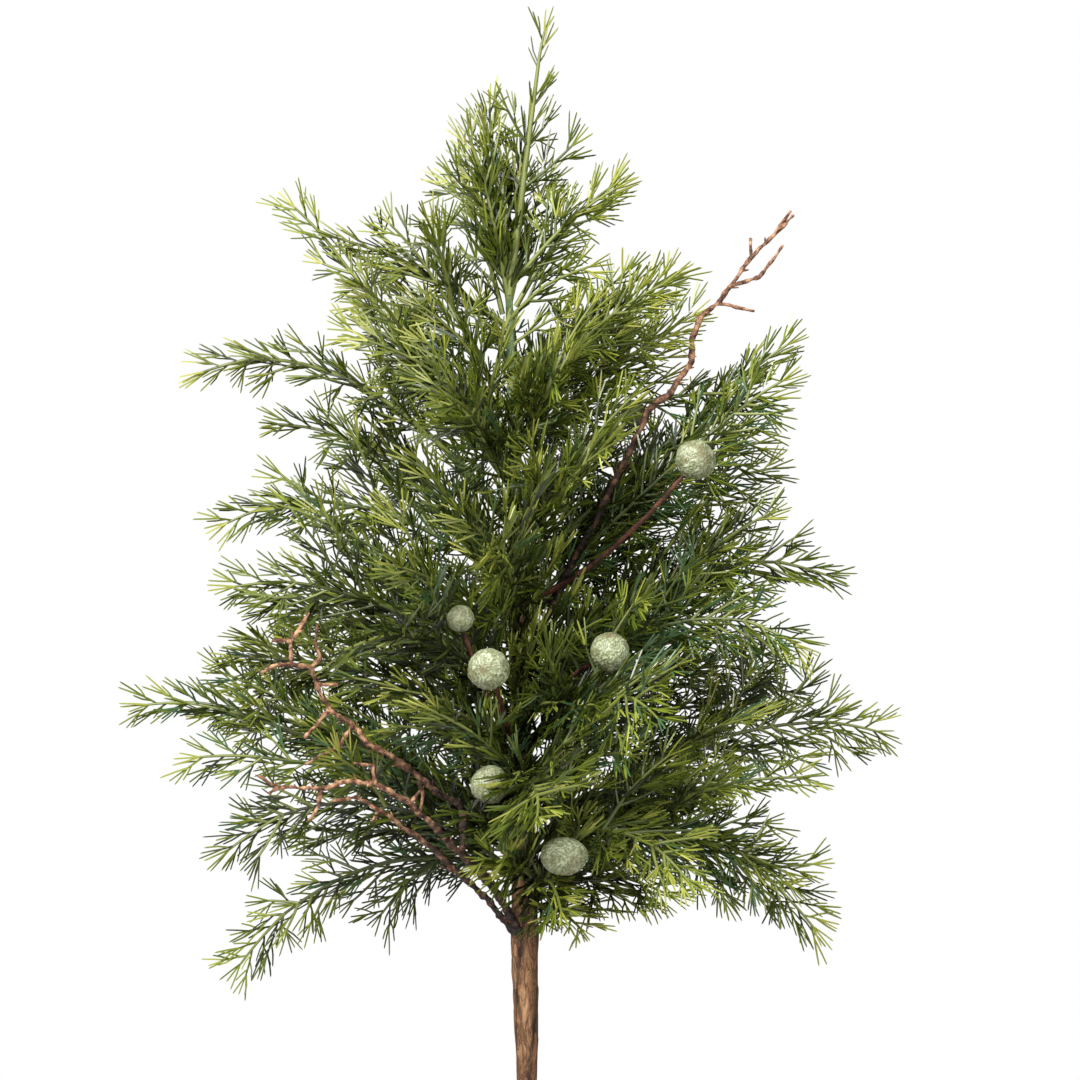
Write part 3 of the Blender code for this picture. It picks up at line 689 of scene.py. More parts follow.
@dataclass(frozen=True)
class Bark:
    """Thin painted bark: dark in its pits, tan on its ridges, and darkened near the pot's axis as
    painted shade.
    """

    name: str
    dark: Triple
    middle: Triple
    light: Triple
    scale: float
    # The reach from the pot's axis within which painted shade darkens the bark, and the share of
    # that reach where the shade is full
    shaded: float = 0
    shaded_through: float = 0.4

    def build(self, effects: Effects) -> Material:
        """The bark's material.

        Args:
            effects: the shared effects.

        Returns:
            The material.
        """
        made = Shades(self.name, 0.6)
        patches, height = made.use(effects.mottle, self.scale)
        colour = made.ramp(patches, (0, self.dark), (0.45, self.middle), (1, self.light))
        # Painted shade: near the pot's axis, under the crown, the bark takes a darker ramp
        if self.shaded:
            painted_shade_colour = made.ramp(patches, (0, self.dark), (0.6, self.dark), (1, self.middle))
            edge = self.shaded * MM
            outward = made.between(made.reach(), edge * self.shaded_through, edge)
            colour = made.mix(outward, painted_shade_colour, colour)
        made.colour(colour)
        made.bump(height, 0.7)
        return made.material


@dataclass(frozen=True)
class Chalk:
    """The pale, wrinkled skin of a cone, grey-green, with painted shade in its creases and pits,
    and ridges pale partly from real bloom and partly as painted highlight.
    """

    # The darkest colour is painted shade in the sunk creases; the palest, on the raised ridges, is
    # partly real bloom and partly painted highlight
    crease_shade: Triple = linear(40, 42, 18)
    blush: Triple = linear(112, 100, 72)
    skin: Triple = linear(116, 124, 84)
    bloom_and_highlight: Triple = linear(176, 182, 152)

    def build(self, effects: Effects) -> Material:
        """The skin's material.

        Args:
            effects: the shared effects.

        Returns:
            The material.
        """
        made = Shades("cone_skin", 0.42)
        creases = made.attribute("crease")
        patches, height = made.use(effects.mottle, 130)
        # Painted shade and highlight: sunk creases are coloured dark and raised ridges pale, the
        # pale part partly real bloom
        skin = made.ramp(creases, (0, self.crease_shade), (0.36, self.skin), (0.95, self.bloom_and_highlight))
        worn = made.ramp(creases, (0, self.crease_shade), (0.3, self.blush), (1, self.skin))
        whole = made.math("MULTIPLY", patches, 1.6, clamp=True)
        made.colour(made.mix(whole, worn, skin))
        made.bump(height, 0.35, 0.6)
        return made.material


@dataclass(frozen=True)
class Earth:
    """A dull, patchy finish for the clay of the pot and its filling."""

    name: str
    stops: tuple[tuple[float, Triple], ...]
    scale: float
    stretch: Triple = (1, 1, 1)
    roughness: float = 0.95
    relief: float = 0.8
    strength: float = 1

    def build(self, effects: Effects) -> Material:
        """The finish's material."""
        made = Shades(self.name, self.roughness)
        patches, height = made.use(effects.mottle, self.scale, self.stretch)
        made.colour(made.ramp(patches, *self.stops))
        made.bump(height, self.relief, self.strength)
        return made.material


FIRED_CLAY = Earth(
    "fired_clay",
    ((0, linear(150, 78, 52)), (0.5, linear(176, 98, 66)), (1, linear(206, 150, 122))),
    26, (1, 1, 1.6), roughness=0.85, relief=0.35, strength=0.5,
)
POTTING_SOIL = Earth("potting_soil", ((0, linear(44, 32, 24)), (1, linear(92, 70, 52))), 120)


@dataclass(frozen=True)
class Floor:
    """The pale studio floor, which fades into the backdrop towards its rim."""

    colour: Triple = (0.8, 0.8, 0.8)
    fade_from: float = 240
    fade_to: float = 840

    def build(self) -> Material:
        """The floor's material."""
        made = Shades("studio_floor", 0.9)
        made.shader.inputs["Base Color"].default_value = (*self.colour, 1)
        feeds = {
            "Value": made.reach(), "From Min": self.fade_from * MM, "From Max": self.fade_to * MM,
            "To Min": 1, "To Max": 0,
        }
        fade = made.add("ShaderNodeMapRange", feeds, interpolation_type="SMOOTHSTEP")
        made.tree.links.new(fade.outputs["Result"], made.shader.inputs["Alpha"])
        return made.material


# The shade of a spray's stem, by its tone, so partly painted light and shade like its needles'
STEM_OF_TONE = {LIGHT: 2, MID: 1, DARK: 0}


class Palette:
    """Every finish, built once."""

    def __init__(self) -> None:
        effects = Effects()
        self.needles = [shade.build() for shade in NEEDLE_SHADES]
        self.stems = [shade.build() for shade in STEM_SHADES]
        self.tape = Tape().build(effects)
        self.bough = Bark(
            "bough_moulding", linear(42, 54, 26), linear(70, 86, 44), linear(104, 118, 68), 130
        ).build(effects)
        # The twig bark carries painted shade within 82 mm of the pot's axis
        self.twig = Bark(
            "twig_bark", linear(30, 17, 11), linear(112, 72, 48), linear(214, 166, 128), 260, 82
        ).build(effects)
        self.stalk = Bark(
            "stalk_bark", linear(34, 16, 12), linear(78, 40, 28), linear(124, 78, 56), 170
        ).build(effects)
        self.chalk = Chalk().build(effects)
        self.clay = FIRED_CLAY.build(effects)
        self.soil = POTTING_SOIL.build(effects)
        self.floor = Floor().build()


# Meshes


def stand(name: str, data: bpy.types.ID) -> bpy.types.Object:
    """Links a new object to the scene.

    Args:
        name: the object's name.
        data: its mesh, lamp or camera.

    Returns:
        The object, at the origin.
    """
    made = bpy.data.objects.new(name, data)
    bpy.context.scene.collection.objects.link(made)
    return made


def place_piece(
    name: str, mesh: Mesh, nodes: Sequence[str], material: Material | None = None
) -> bpy.types.Object:
    """Links a finished mesh as a piece that stands for CAD nodes.

    Args:
        name: the piece's name.
        mesh: its mesh, in metres and in the row frame.
        nodes: the CAD nodes it stands for.
        material: its finish, if the mesh has none yet.

    Returns:
        The piece's object, at the origin.
    """
    if material:
        mesh.materials.append(material)
    mesh.name = name
    obj = stand(name, mesh)
    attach(obj, BODY)
    if nodes:
        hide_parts(*nodes)
    mesh.calc_loop_triangles()
    log.info("%s: %d triangles", name, len(mesh.loop_triangles))
    return obj


def closed_mesh(points: Sequence[Vector], faces: Sequence[Sequence[int]]) -> Mesh:
    """A smooth mesh of points in millimetres, with its faces turned outwards.

    Args:
        points: its corners.
        faces: the corners of each face, by number.

    Returns:
        The mesh, in metres.
    """
    mesh = bpy.data.meshes.new("piece")
    mesh.from_pydata([p * MM for p in points], [], faces)
    work = bmesh.new()
    work.from_mesh(mesh)
    bmesh.ops.recalc_face_normals(work, faces=work.faces)
    work.to_mesh(mesh)
    work.free()
    mesh.shade_smooth()
    return mesh


def relief_tube(
    points: Sequence[Vector],
    radii: Sequence[float],
    sides: int,
    relief: Callable[[float, float], float],
) -> Mesh:
    """A closed tube whose skin stands in and out of its radius.

    Args:
        points: the tube's line, close together.
        radii: its radius at each point.
        sides: how many corners each ring has.
        relief: how far the skin stands out, by the distance along and the angle round.

    Returns:
        The mesh, with a hub in each end and its relief as an attribute.
    """
    corners: list[Vector] = []
    depths: list[float] = []
    side = None
    along = 0.0
    for i, point in enumerate(points):
        before, after = points[max(i - 1, 0)], points[min(i + 1, len(points) - 1)]
        tangent = (after - before).normalized()
        side = side or side_of(tangent)
        side = (side - tangent * side.dot(tangent)).normalized()
        other = tangent.cross(side)
        along += (point - before).length
        for k in range(sides):
            angle = 2 * math.pi * k / sides
            out = side * math.cos(angle) + other * math.sin(angle)
            depths.append(relief(along, angle))
            corners.append(point + out * (radii[i] + depths[-1]))
    faces = []
    for i in range(len(points) - 1):
        for k in range(sides):
            a, b = i * sides + k, i * sides + (k + 1) % sides
            faces.append((a, b, b + sides, a + sides))
    for ring, hub in ((0, points[0]), (len(points) - 1, points[-1])):
        first = ring * sides
        faces += [(first + k, first + (k + 1) % sides, len(corners)) for k in range(sides)]
        corners.append(hub)
        depths.append(0)
    mesh = closed_mesh(corners, faces)
    mesh.attributes.new("relief", "FLOAT", "POINT").data.foreach_set("value", depths)
    return mesh


class Lines:
    """Lines gathered for one joined piece, each point with its thickness and shade."""

    def __init__(self) -> None:
        self.points: list[Vector] = []
        self.radii: list[float] = []
        self.shades: list[int] = []
        self.edges: list[tuple[int, int]] = []

    def add(self, points: Sequence[Vector], radii: Sequence[float], shade: int) -> None:
        """Adds one line.

        Args:
            points: the line's points.
            radii: its radius at each.
            shade: the number of its material.
        """
        first = len(self.points)
        self.points += points
        self.radii += radii
        self.shades += [shade] * len(points)
        self.edges += [(first + i, first + i + 1) for i in range(len(points) - 1)]

    def mesh(self, name: str) -> Mesh:
        """The lines as a mesh of edges, in metres.

        Args:
            name: the mesh's name.

        Returns:
            The mesh, with thickness and shade as attributes.
        """
        made = bpy.data.meshes.new(name)
        made.from_pydata([p * MM for p in self.points], self.edges, [])
        thickness = made.attributes.new("thickness", "FLOAT", "POINT")
        thickness.data.foreach_set("value", [r * MM for r in self.radii])
        shade = made.attributes.new("shade", "INT", "POINT")
        shade.data.foreach_set("value", self.shades)
        return made


def made_by(
    graph: Graph, mesh: Mesh, inputs: dict[str, object], materials: Sequence[Material]
) -> Mesh:
    """The plain mesh that Geometry Nodes make of another.

    Args:
        graph: the nodes.
        mesh: the mesh that goes in, which is removed.
        inputs: the nodes' inputs by label.
        materials: the materials, in the order of the slots.

    Returns:
        The mesh, with one slot for each material.
    """
    carrier = stand("carrier", mesh)
    nodes = carrier.modifiers.new("nodes", "NODES")
    nodes.node_group = graph.tree
    for label, value in inputs.items():
        nodes[graph.identifiers[label]] = value
    evaluated = carrier.evaluated_get(bpy.context.evaluated_depsgraph_get())
    made = bpy.data.meshes.new_from_object(evaluated)
    order = [materials.index(m) if m in materials else 0 for m in made.materials]
    old = np.zeros(len(made.polygons), np.int32)
    made.polygons.foreach_get("material_index", old)
    made.materials.clear()
    for material in materials:
        made.materials.append(material)
    made.polygons.foreach_set("material_index", np.array(order, np.int32)[old])
    for name in ("thickness", "shade"):
        if name in made.attributes:
            made.attributes.remove(made.attributes[name])
    bpy.data.objects.remove(carrier)
    bpy.data.meshes.remove(mesh)
    return made


# Tubes of so few sides keep their flat faces
FACETED_SIDES = 3


class TubeNodes:
    """Geometry Nodes that turn gathered lines into closed tubes, one material a shade."""

    def __init__(self, name: str, shades: int) -> None:
        self.graph = graph = Graph(bpy.data.node_groups.new(name, "GeometryNodeTree"))
        kinds = {"Geometry": "Geometry", "Sides": "Int", "Smooth": "Bool"}
        given = graph.inputs(kinds | {f"Shade {i}": "Material" for i in range(shades)})
        thickness, shade = (
            graph.add("GeometryNodeInputNamedAttribute", {"Name": label}, data_type=kind)
            for label, kind in (("thickness", "FLOAT"), ("shade", "INT"))
        )
        curves = graph.add("GeometryNodeMeshToCurve", {"Mesh": given["Geometry"]})
        ring = {"Resolution": given["Sides"], "Radius": 1}
        feeds = {
            "Curve": curves.outputs["Curve"],
            "Profile Curve": graph.add("GeometryNodeCurvePrimitiveCircle", ring).outputs["Curve"],
            "Scale": thickness.outputs["Attribute"],
            "Fill Caps": True,
        }
        tubes = graph.add("GeometryNodeCurveToMesh", feeds).outputs["Mesh"]
        feeds = {"Geometry": tubes, "Shade Smooth": given["Smooth"]}
        last = graph.add("GeometryNodeSetShadeSmooth", feeds).outputs["Geometry"]
        for i in range(shades):
            feeds = {"A_INT": shade.outputs["Attribute"], "B_INT": i}
            same = graph.add("FunctionNodeCompare", feeds, data_type="INT", operation="EQUAL")
            feeds = {
                "Geometry": last,
                "Selection": same.outputs["Result"],
                "Material": given[f"Shade {i}"],
            }
            last = graph.add("GeometryNodeSetMaterial", feeds).outputs["Geometry"]
        real = graph.add("GeometryNodeRealizeInstances", {"Geometry": last})
        graph.outputs("Geometry", {"Geometry": real.outputs["Geometry"]})

    def tubes(self, lines: Lines, sides: int, materials: Sequence[Material]) -> Mesh:
        """The gathered lines as one plain mesh of tubes, with one material for each shade.

        Args:
            lines: the lines.
            sides: how many sides a tube has.
            materials: one for each shade.

        Returns:
            The mesh.
        """
        inputs = {"Sides": sides, "Smooth": sides > FACETED_SIDES}
        inputs |= {f"Shade {i}": material for i, material in enumerate(materials)}
        return made_by(self.graph, lines.mesh("lines"), inputs, materials)


# The pot and its filling


@dataclass
class Pot:
    """The clay pot: a tapered bowl with a plain band under its lip."""

    height: float = 120
    foot_radius: float = 50
    waist_radius: float = 67
    rim_radius: float = 74
    band_height: float = 27
    band_step: float = 3.5
    inner_floor_radius: float = 44
    inner_rim_radius: float = 66
    floor: float = 9
    edge: float = 2
    sides: int = 128
    round_steps: int = 4

    def profile(self) -> list[tuple[float, float]]:
        """The pot's outline from the middle of its foot up, over its lip and down inside.

        Returns:
            Its points as (radius, height).
        """
        band_foot = self.height - self.band_height
        corners = [
            (self.foot_radius, 0),
            (self.waist_radius, band_foot - self.edge / 2),
            (self.waist_radius + self.band_step, band_foot),
            (self.rim_radius, self.height),
            (self.inner_rim_radius, self.height),
            (self.inner_floor_radius, self.floor),
        ]
        ends = [(0.0, 0.0), *corners, (0.0, self.floor)]
        line: list[tuple[float, float]] = [ends[0]]
        for before, corner, after in zip(ends, ends[1:], ends[2:]):
            line += self.rounded(Vector(before), Vector(corner), Vector(after))
        return [*line, ends[-1]]

    def rounded(self, before: Vector, corner: Vector, after: Vector) -> list[tuple[float, float]]:
        """A corner of the outline, eased over the pot's edge width.

        Args:
            before: the corner before it.
            corner: the corner itself.
            after: the corner after it.

        Returns:
            The points that take the corner's place.
        """
        reach = min(self.edge, (before - corner).length / 2, (after - corner).length / 2)
        first = corner + (before - corner).normalized() * reach
        last = corner + (after - corner).normalized() * reach
        eased = []
        for t in spaced(0, 1, self.round_steps):
            point = first * (1 - t) ** 2 + corner * 2 * t * (1 - t) + last * t**2
            eased.append((point.x, point.y))
        return eased

    def inside_radius(self, height: float) -> float:
        """The radius of the pot's inside at a height."""
        share = (height - self.floor) / (self.height - self.floor)
        return self.inner_floor_radius + (self.inner_rim_radius - self.inner_floor_radius) * share

    def build(self, palette: Palette) -> None:
        """Builds and dresses the pot."""
        mesh = turned_mesh(self.profile(), self.sides)
        place_piece("clay_pot", mesh, ["pot"], palette.clay)


def turned_mesh(
    profile: Sequence[tuple[float, float]],
    sides: int,
    lift: Callable[[Vector], float] | None = None,
) -> Mesh:
    """A closed solid turned from (radius, height) points that start and end on the axis.

    Args:
        profile: the points.
        sides: how many corners a ring has.
        lift: how far a point is lifted, if the solid isn't plain.

    Returns:
        The mesh.
    """
    points: list[Vector] = []
    rows: list[list[int]] = []
    for radius, height in profile:
        if radius == 0:
            rows.append([len(points)] * sides)
            points.append(Vector((0, 0, height)))
            continue
        rows.append([len(points) + k for k in range(sides)])
        for k in range(sides):
            points.append(polar(360 * k / sides, radius, height))
    if lift:
        points = [p + UP * lift(p) for p in points]
    faces = []
    for low, high in zip(rows, rows[1:]):
        for k in range(sides):
            after = (k + 1) % sides
            faces.append(tuple(dict.fromkeys([low[k], low[after], high[after], high[k]])))
    return closed_mesh(points, faces)


@dataclass
class Filling:
    """The potting mix: a lumpy top with clods strewn on it."""

    pot: Pot
    top: float = 106
    depth: float = 10
    gap: float = 0.8
    rings: int = 26
    sides: int = 96
    lump: float = 1.3
    lump_size: float = 9
    level_from: float = 0.7
    clod_density: float = 60000
    least_clod: float = 1.2
    largest_clod: float = 3.6
    seed: int = 4

    def lift(self, point: Vector) -> float:
        """How far a point of the top is lifted or sunk. The foot stays flat."""
        if point.z < self.top - self.depth / 2:
            return 0.0
        return self.lump * noise.noise(point / self.lump_size) - self.lump / 2

    def build(self, palette: Palette) -> None:
        """Builds the mix and the clods on it.

        Args:
            palette: the finishes.
        """
        low = self.top - self.depth
        rim = self.pot.inside_radius(self.top) - self.gap
        profile = [(0.0, low), (self.pot.inside_radius(low) - self.gap, low)]
        profile += [(r, self.top) for r in spaced(rim, 0, self.rings)]
        mesh = turned_mesh(profile, self.sides, self.lift)
        place_piece("soil_bed", mesh, ["potting_mix"], palette.soil)
        self.strew(mesh, palette)

    def strew(self, bed: Mesh, palette: Palette) -> None:
        """Strews clods over the top of the bed by Geometry Nodes, joined into one piece.

        Args:
            bed: the filling's mesh.
            palette: the finishes.
        """
        graph = Graph(bpy.data.node_groups.new("Clods", "GeometryNodeTree"))
        add = graph.add
        kinds = {
            "Geometry": "Geometry", "Density": "Float", "Spacing": "Float", "Least": "Float",
            "Largest": "Float", "Seed": "Int", "Material": "Material",
        }
        given = graph.inputs(kinds)
        normal = add("GeometryNodeInputNormal").outputs["Normal"]
        rise = add("ShaderNodeSeparateXYZ", {0: normal}).outputs["Z"]
        feeds = {"A": rise, "B": self.level_from}
        level = add("FunctionNodeCompare", feeds, operation="GREATER_THAN").outputs["Result"]
        feeds = {
            "Mesh": given["Geometry"], "Selection": level, "Distance Min": given["Spacing"],
            "Density Max": given["Density"], "Seed": given["Seed"],
        }
        spots = add(
            "GeometryNodeDistributePointsOnFaces", feeds, distribute_method="POISSON"
        ).outputs["Points"]
        ball = add("GeometryNodeMeshIcoSphere", {"Subdivisions": 2, "Radius": 1}).outputs["Mesh"]
        here = add("GeometryNodeInputPosition").outputs["Position"]
        rough = add("ShaderNodeTexNoise", {"Vector": here, "Scale": 0.9}).outputs["Color"]
        feeds = {0: rough, 1: (0.5, 0.5, 0.5)}
        offset = add("ShaderNodeVectorMath", feeds, operation="SUBTRACT").outputs["Vector"]
        feeds = {"Geometry": ball, "Offset": offset}
        lumpy = add("GeometryNodeSetPosition", feeds).outputs["Geometry"]
        feeds = {"Min_001": given["Least"], "Max_001": given["Largest"], "Seed": given["Seed"]}
        size = add("FunctionNodeRandomValue", feeds, data_type="FLOAT")
        feeds = {"Max": (math.tau, math.tau, math.tau), "Seed": given["Seed"]}
        turn = add("FunctionNodeRandomValue", feeds, data_type="FLOAT_VECTOR")
        feeds = {
            "Points": spots, "Instance": lumpy, "Rotation": turn.outputs["Value"],
            "Scale": socket_of(size.outputs, "Value_001"),
        }
        clods = add("GeometryNodeInstanceOnPoints", feeds).outputs["Instances"]
        real = add("GeometryNodeRealizeInstances", {"Geometry": clods}).outputs["Geometry"]
        feeds = {"Geometry": real, "Material": given["Material"]}
        paint = add("GeometryNodeSetMaterial", feeds).outputs["Geometry"]
        graph.outputs("Geometry", {"Geometry": paint})
        inputs = {
            "Density": self.clod_density, "Spacing": self.least_clod * MM,
            "Least": self.least_clod * MM / 2, "Largest": self.largest_clod * MM / 2,
            "Seed": self.seed, "Material": palette.soil,
        }
        mesh = made_by(graph, bed.copy(), inputs, [palette.soil])
        place_piece("soil_clods", mesh, [])


# Trunk, boughs, bare twigs and cones


@dataclass
class Trunk:
    """The trunk of taped wires: narrow at its foot, thickest where the crown begins."""

    foot_height: float = 106
    crown_height: float = 206
    tip_height: float = 527
    foot_radius: float = 4.3
    crown_radius: float = 7.0
    tip_radius: float = 1.8
    taper_power: float = 0.8
    lean: float = 9
    lean_power: float = 1.5
    belly: float = 3
    clearance: float = 0.35
    sides: int = 64
    ring_step: float = 1.4
    strands: int = 3
    strand_depth: float = 1.1
    groove_power: float = 0.55
    groove_level: float = 0.75
    seam_azimuth: float = 253
    seam_twist: float = 1.2
    wrap_pitch: float = 26
    wrap_step: float = 0.28
    crumple: float = 0.45
    folds: tuple[Triple, ...] = ((1, 2.2, 9), (0.4, 6, 5))

    def middle(self, height: float) -> Vector:
        """The trunk's middle at a height: it leans left and bellies to the back.

        Args:
            height: the height above the floor.

        Returns:
            The middle.
        """
        share = (height - self.foot_height) / (self.tip_height - self.foot_height)
        back = self.belly * math.sin(math.pi * share)
        return Vector((-self.lean * max(share, 0) ** self.lean_power, back, height))

    def radius(self, height: float) -> float:
        """The trunk's radius at a height.

        Args:
            height: the height above the floor.

        Returns:
            The radius.
        """
        if height < self.crown_height:
            share = (height - self.foot_height) / (self.crown_height - self.foot_height)
            return self.foot_radius + (self.crown_radius - self.foot_radius) * max(share, 0)
        share = (height - self.crown_height) / (self.tip_height - self.crown_height)
        thinner = (self.crown_radius - self.tip_radius) * min(share, 1) ** self.taper_power
        return self.crown_radius - thinner

    def gap(self, point: Vector) -> float:
        """How far a point stands off the trunk's plain surface."""
        if point.z > self.tip_height:
            return (point - self.middle(self.tip_height)).length - self.tip_radius
        return (point - self.middle(point.z)).length - self.radius(point.z)

    def start_clear(self, arc: Arc, radius: float, sides: int) -> float:
        """The share of an arc at which a limb's flat end of so many sides clears the trunk.

        Args:
            arc: the limb's curve.
            radius: its radius.
            sides: how many sides it has.

        Returns:
            The share of the arc.
        """
        t = 0.0
        while True:
            tangent = arc.tangent(t)
            side = side_of(tangent)
            ring = [turned(side, tangent, 360 * k / sides) * radius for k in range(sides)]
            edges = zip(ring, ring[1:] + ring[:1])
            rim = [a.lerp(b, share) for a, b in edges for share in (0, 0.25, 0.5, 0.75)]
            if min(self.gap(arc.point(t) + p) for p in [*rim, Vector()]) > self.clearance:
                return t
            t += START_STEP

    def relief(self, along: float, angle: float) -> float:
        """The bundle's grooves, the tape's overlapping edge and its crumpling.

        Args:
            along: the distance above the trunk's foot.
            angle: the angle round it, in radians.

        Returns:
            How far the skin stands out.
        """
        thick = self.radius(self.foot_height + along) / self.crown_radius
        above = self.foot_height + along - self.crown_height
        turn = angle - math.radians(self.seam_azimuth + self.seam_twist * above)
        groove = abs(math.sin(turn * self.strands / 2)) ** self.groove_power - self.groove_level
        wrap = (along / self.wrap_pitch + angle / math.tau) % 1
        rough = sum(w * skin_noise(along, angle, turns, size) for w, turns, size in self.folds)
        return thick * (
            self.strand_depth * groove + self.wrap_step * (wrap - 0.5) + self.crumple * rough
        )

    def build(self, palette: Palette) -> None:
        """Builds and dresses the trunk.

        Args:
            palette: the finishes.
        """
        count = int((self.tip_height - self.foot_height) / self.ring_step)
        heights = spaced(self.foot_height - 2, self.tip_height + 1, count)
        points = [self.middle(h) for h in heights]
        mesh = relief_tube(points, [self.radius(h) for h in heights], self.sides, self.relief)
        place_piece("taped_trunk", mesh, ["trunk"], palette.tape)


@dataclass
class Boughs:
    """The main boughs: moulded green limbs with a rough skin."""

    trunk: Trunk
    root_radius: float = 2.6
    tip_radius: float = 1.9
    sides: int = 16
    rings: int = 40
    rough: float = 0.3

    def relief(self, along: float, angle: float) -> float:
        """Small scales and pits."""
        return self.rough * skin_noise(along, angle, 1.6, 2.4)

    def build(self, palette: Palette) -> None:
        """Builds and dresses each bough.

        Args:
            palette: the finishes.
        """
        for branch in BRANCHES:
            if not branch.bare:
                continue
            arc = branch_arc(self.trunk, branch)
            shares = spaced(0, branch.bare + 1 / arc.length(), self.rings)
            radii = spaced(self.root_radius, self.tip_radius, self.rings)
            mesh = relief_tube([arc.point(t) for t in shares], radii, self.sides, self.relief)
            nodes = [f"bough_{branch.name}"]
            place_piece(f"limb_{branch.name}", mesh, nodes, palette.bough)


def branch_arc(trunk: Trunk, branch: Branch) -> Arc:
    """The curve of a branch, from the trunk's middle to its tip."""
    tip = polar(branch.azimuth, branch.reach, branch.tip)
    return Arc(trunk.middle(branch.root), tip, branch.arch)


@dataclass
class BareTwigs:
    """The knobbly twigs with no needles, each with its spurs and buds."""

    root_radius: float = 2.1
    tip_radius: float = 0.85
    spur_radius: float = 1.15
    spur_tip_radius: float = 0.7
    step: float = 1.0
    knob: float = 0.6
    knob_size: float = 2.6
    sway: float = 0.8
    sway_size: float = 7
    bud_pitch: float = 8
    bud_length: float = 3.6
    bud_radius: float = 0.5
    bud_lean: float = 1.3
    sides: int = 8

    def knobbly(
        self, points: Sequence[Vector], radii: Sequence[float], chance: random.Random
    ) -> tuple[list[Vector], list[float]]:
        """A line resampled finely, with knobs along it and a blunt end.

        Args:
            points: the line's points.
            radii: its radius at each.
            chance: where its chances come from.

        Returns:
            The new points and their radii.
        """
        row: list[Vector] = []
        thick: list[float] = []
        offset = noise_place(chance)
        for a, b, ra, rb in zip(points, points[1:], radii, radii[1:]):
            count = max(int((b - a).length / self.step), 1)
            for i in range(count):
                where = a.lerp(b, i / count)
                there = where / self.sway_size
                sway = Vector([noise.noise(there + offset * k) for k in (1, 2, 3)])
                knob = 1 + self.knob * noise.noise(where / self.knob_size + offset)
                row.append(where + sway * self.sway)
                thick.append((ra + (rb - ra) * i / count) * knob)
        tip = row[-1]
        way = (tip - row[-2]).normalized()
        row += [tip + way * thick[-1] * 0.8, tip + way * thick[-1] * 1.2]
        thick += [thick[-1] * 0.9, thick[-1] * 0.45]
        return row, thick

    def build(self, palette: Palette, tubes: TubeNodes) -> None:
        """Builds and dresses each bare twig with its spurs and buds.

        Args:
            palette: the finishes.
            tubes: the nodes that make the tubes.
        """
        for twig in BARE_TWIGS:
            chance = random.Random(f"{SEED} {twig.name} fine")
            lines = Lines()
            radii = spaced(self.root_radius, self.tip_radius, len(twig.path))
            main = self.knobbly(twig.line(twig.path), radii, chance)
            lines.add(*main, 0)
            for spur in twig.spurs:
                thick = spaced(self.spur_radius, self.spur_tip_radius, len(spur))
                lines.add(*self.knobbly(twig.line(spur), thick, chance), 0)
            self.add_buds(lines, main, chance)
            mesh = tubes.tubes(lines, self.sides, [palette.twig])
            place_piece(f"twig_{twig.name}", mesh, [f"bare_twig_{twig.name}"])

    def add_buds(
        self, lines: Lines, main: tuple[list[Vector], list[float]], chance: random.Random
    ) -> None:
        """Adds short buds along the outer part of a twig.

        Args:
            lines: the lines that the buds join.
            main: the points and radii of the twig's own line.
            chance: where the chances come from.
        """
        points, radii = main
        i = len(points) // 3
        while i < len(points) - 4:
            tangent = (points[i + 1] - points[i]).normalized()
            around = turned(side_of(tangent), tangent, chance.uniform(0, 360))
            way = (tangent + around * self.bud_lean).normalized()
            length = radii[i] + self.bud_length * chance.uniform(0.4, 1)
            ends = [points[i] + way * length * share for share in (0, 0.6, 1)]
            lines.add(ends, [self.bud_radius * k for k in (1.3, 1, 0.5)], 0)
            i += max(int(self.bud_pitch * chance.uniform(0.5, 1.4) / self.step), 2)


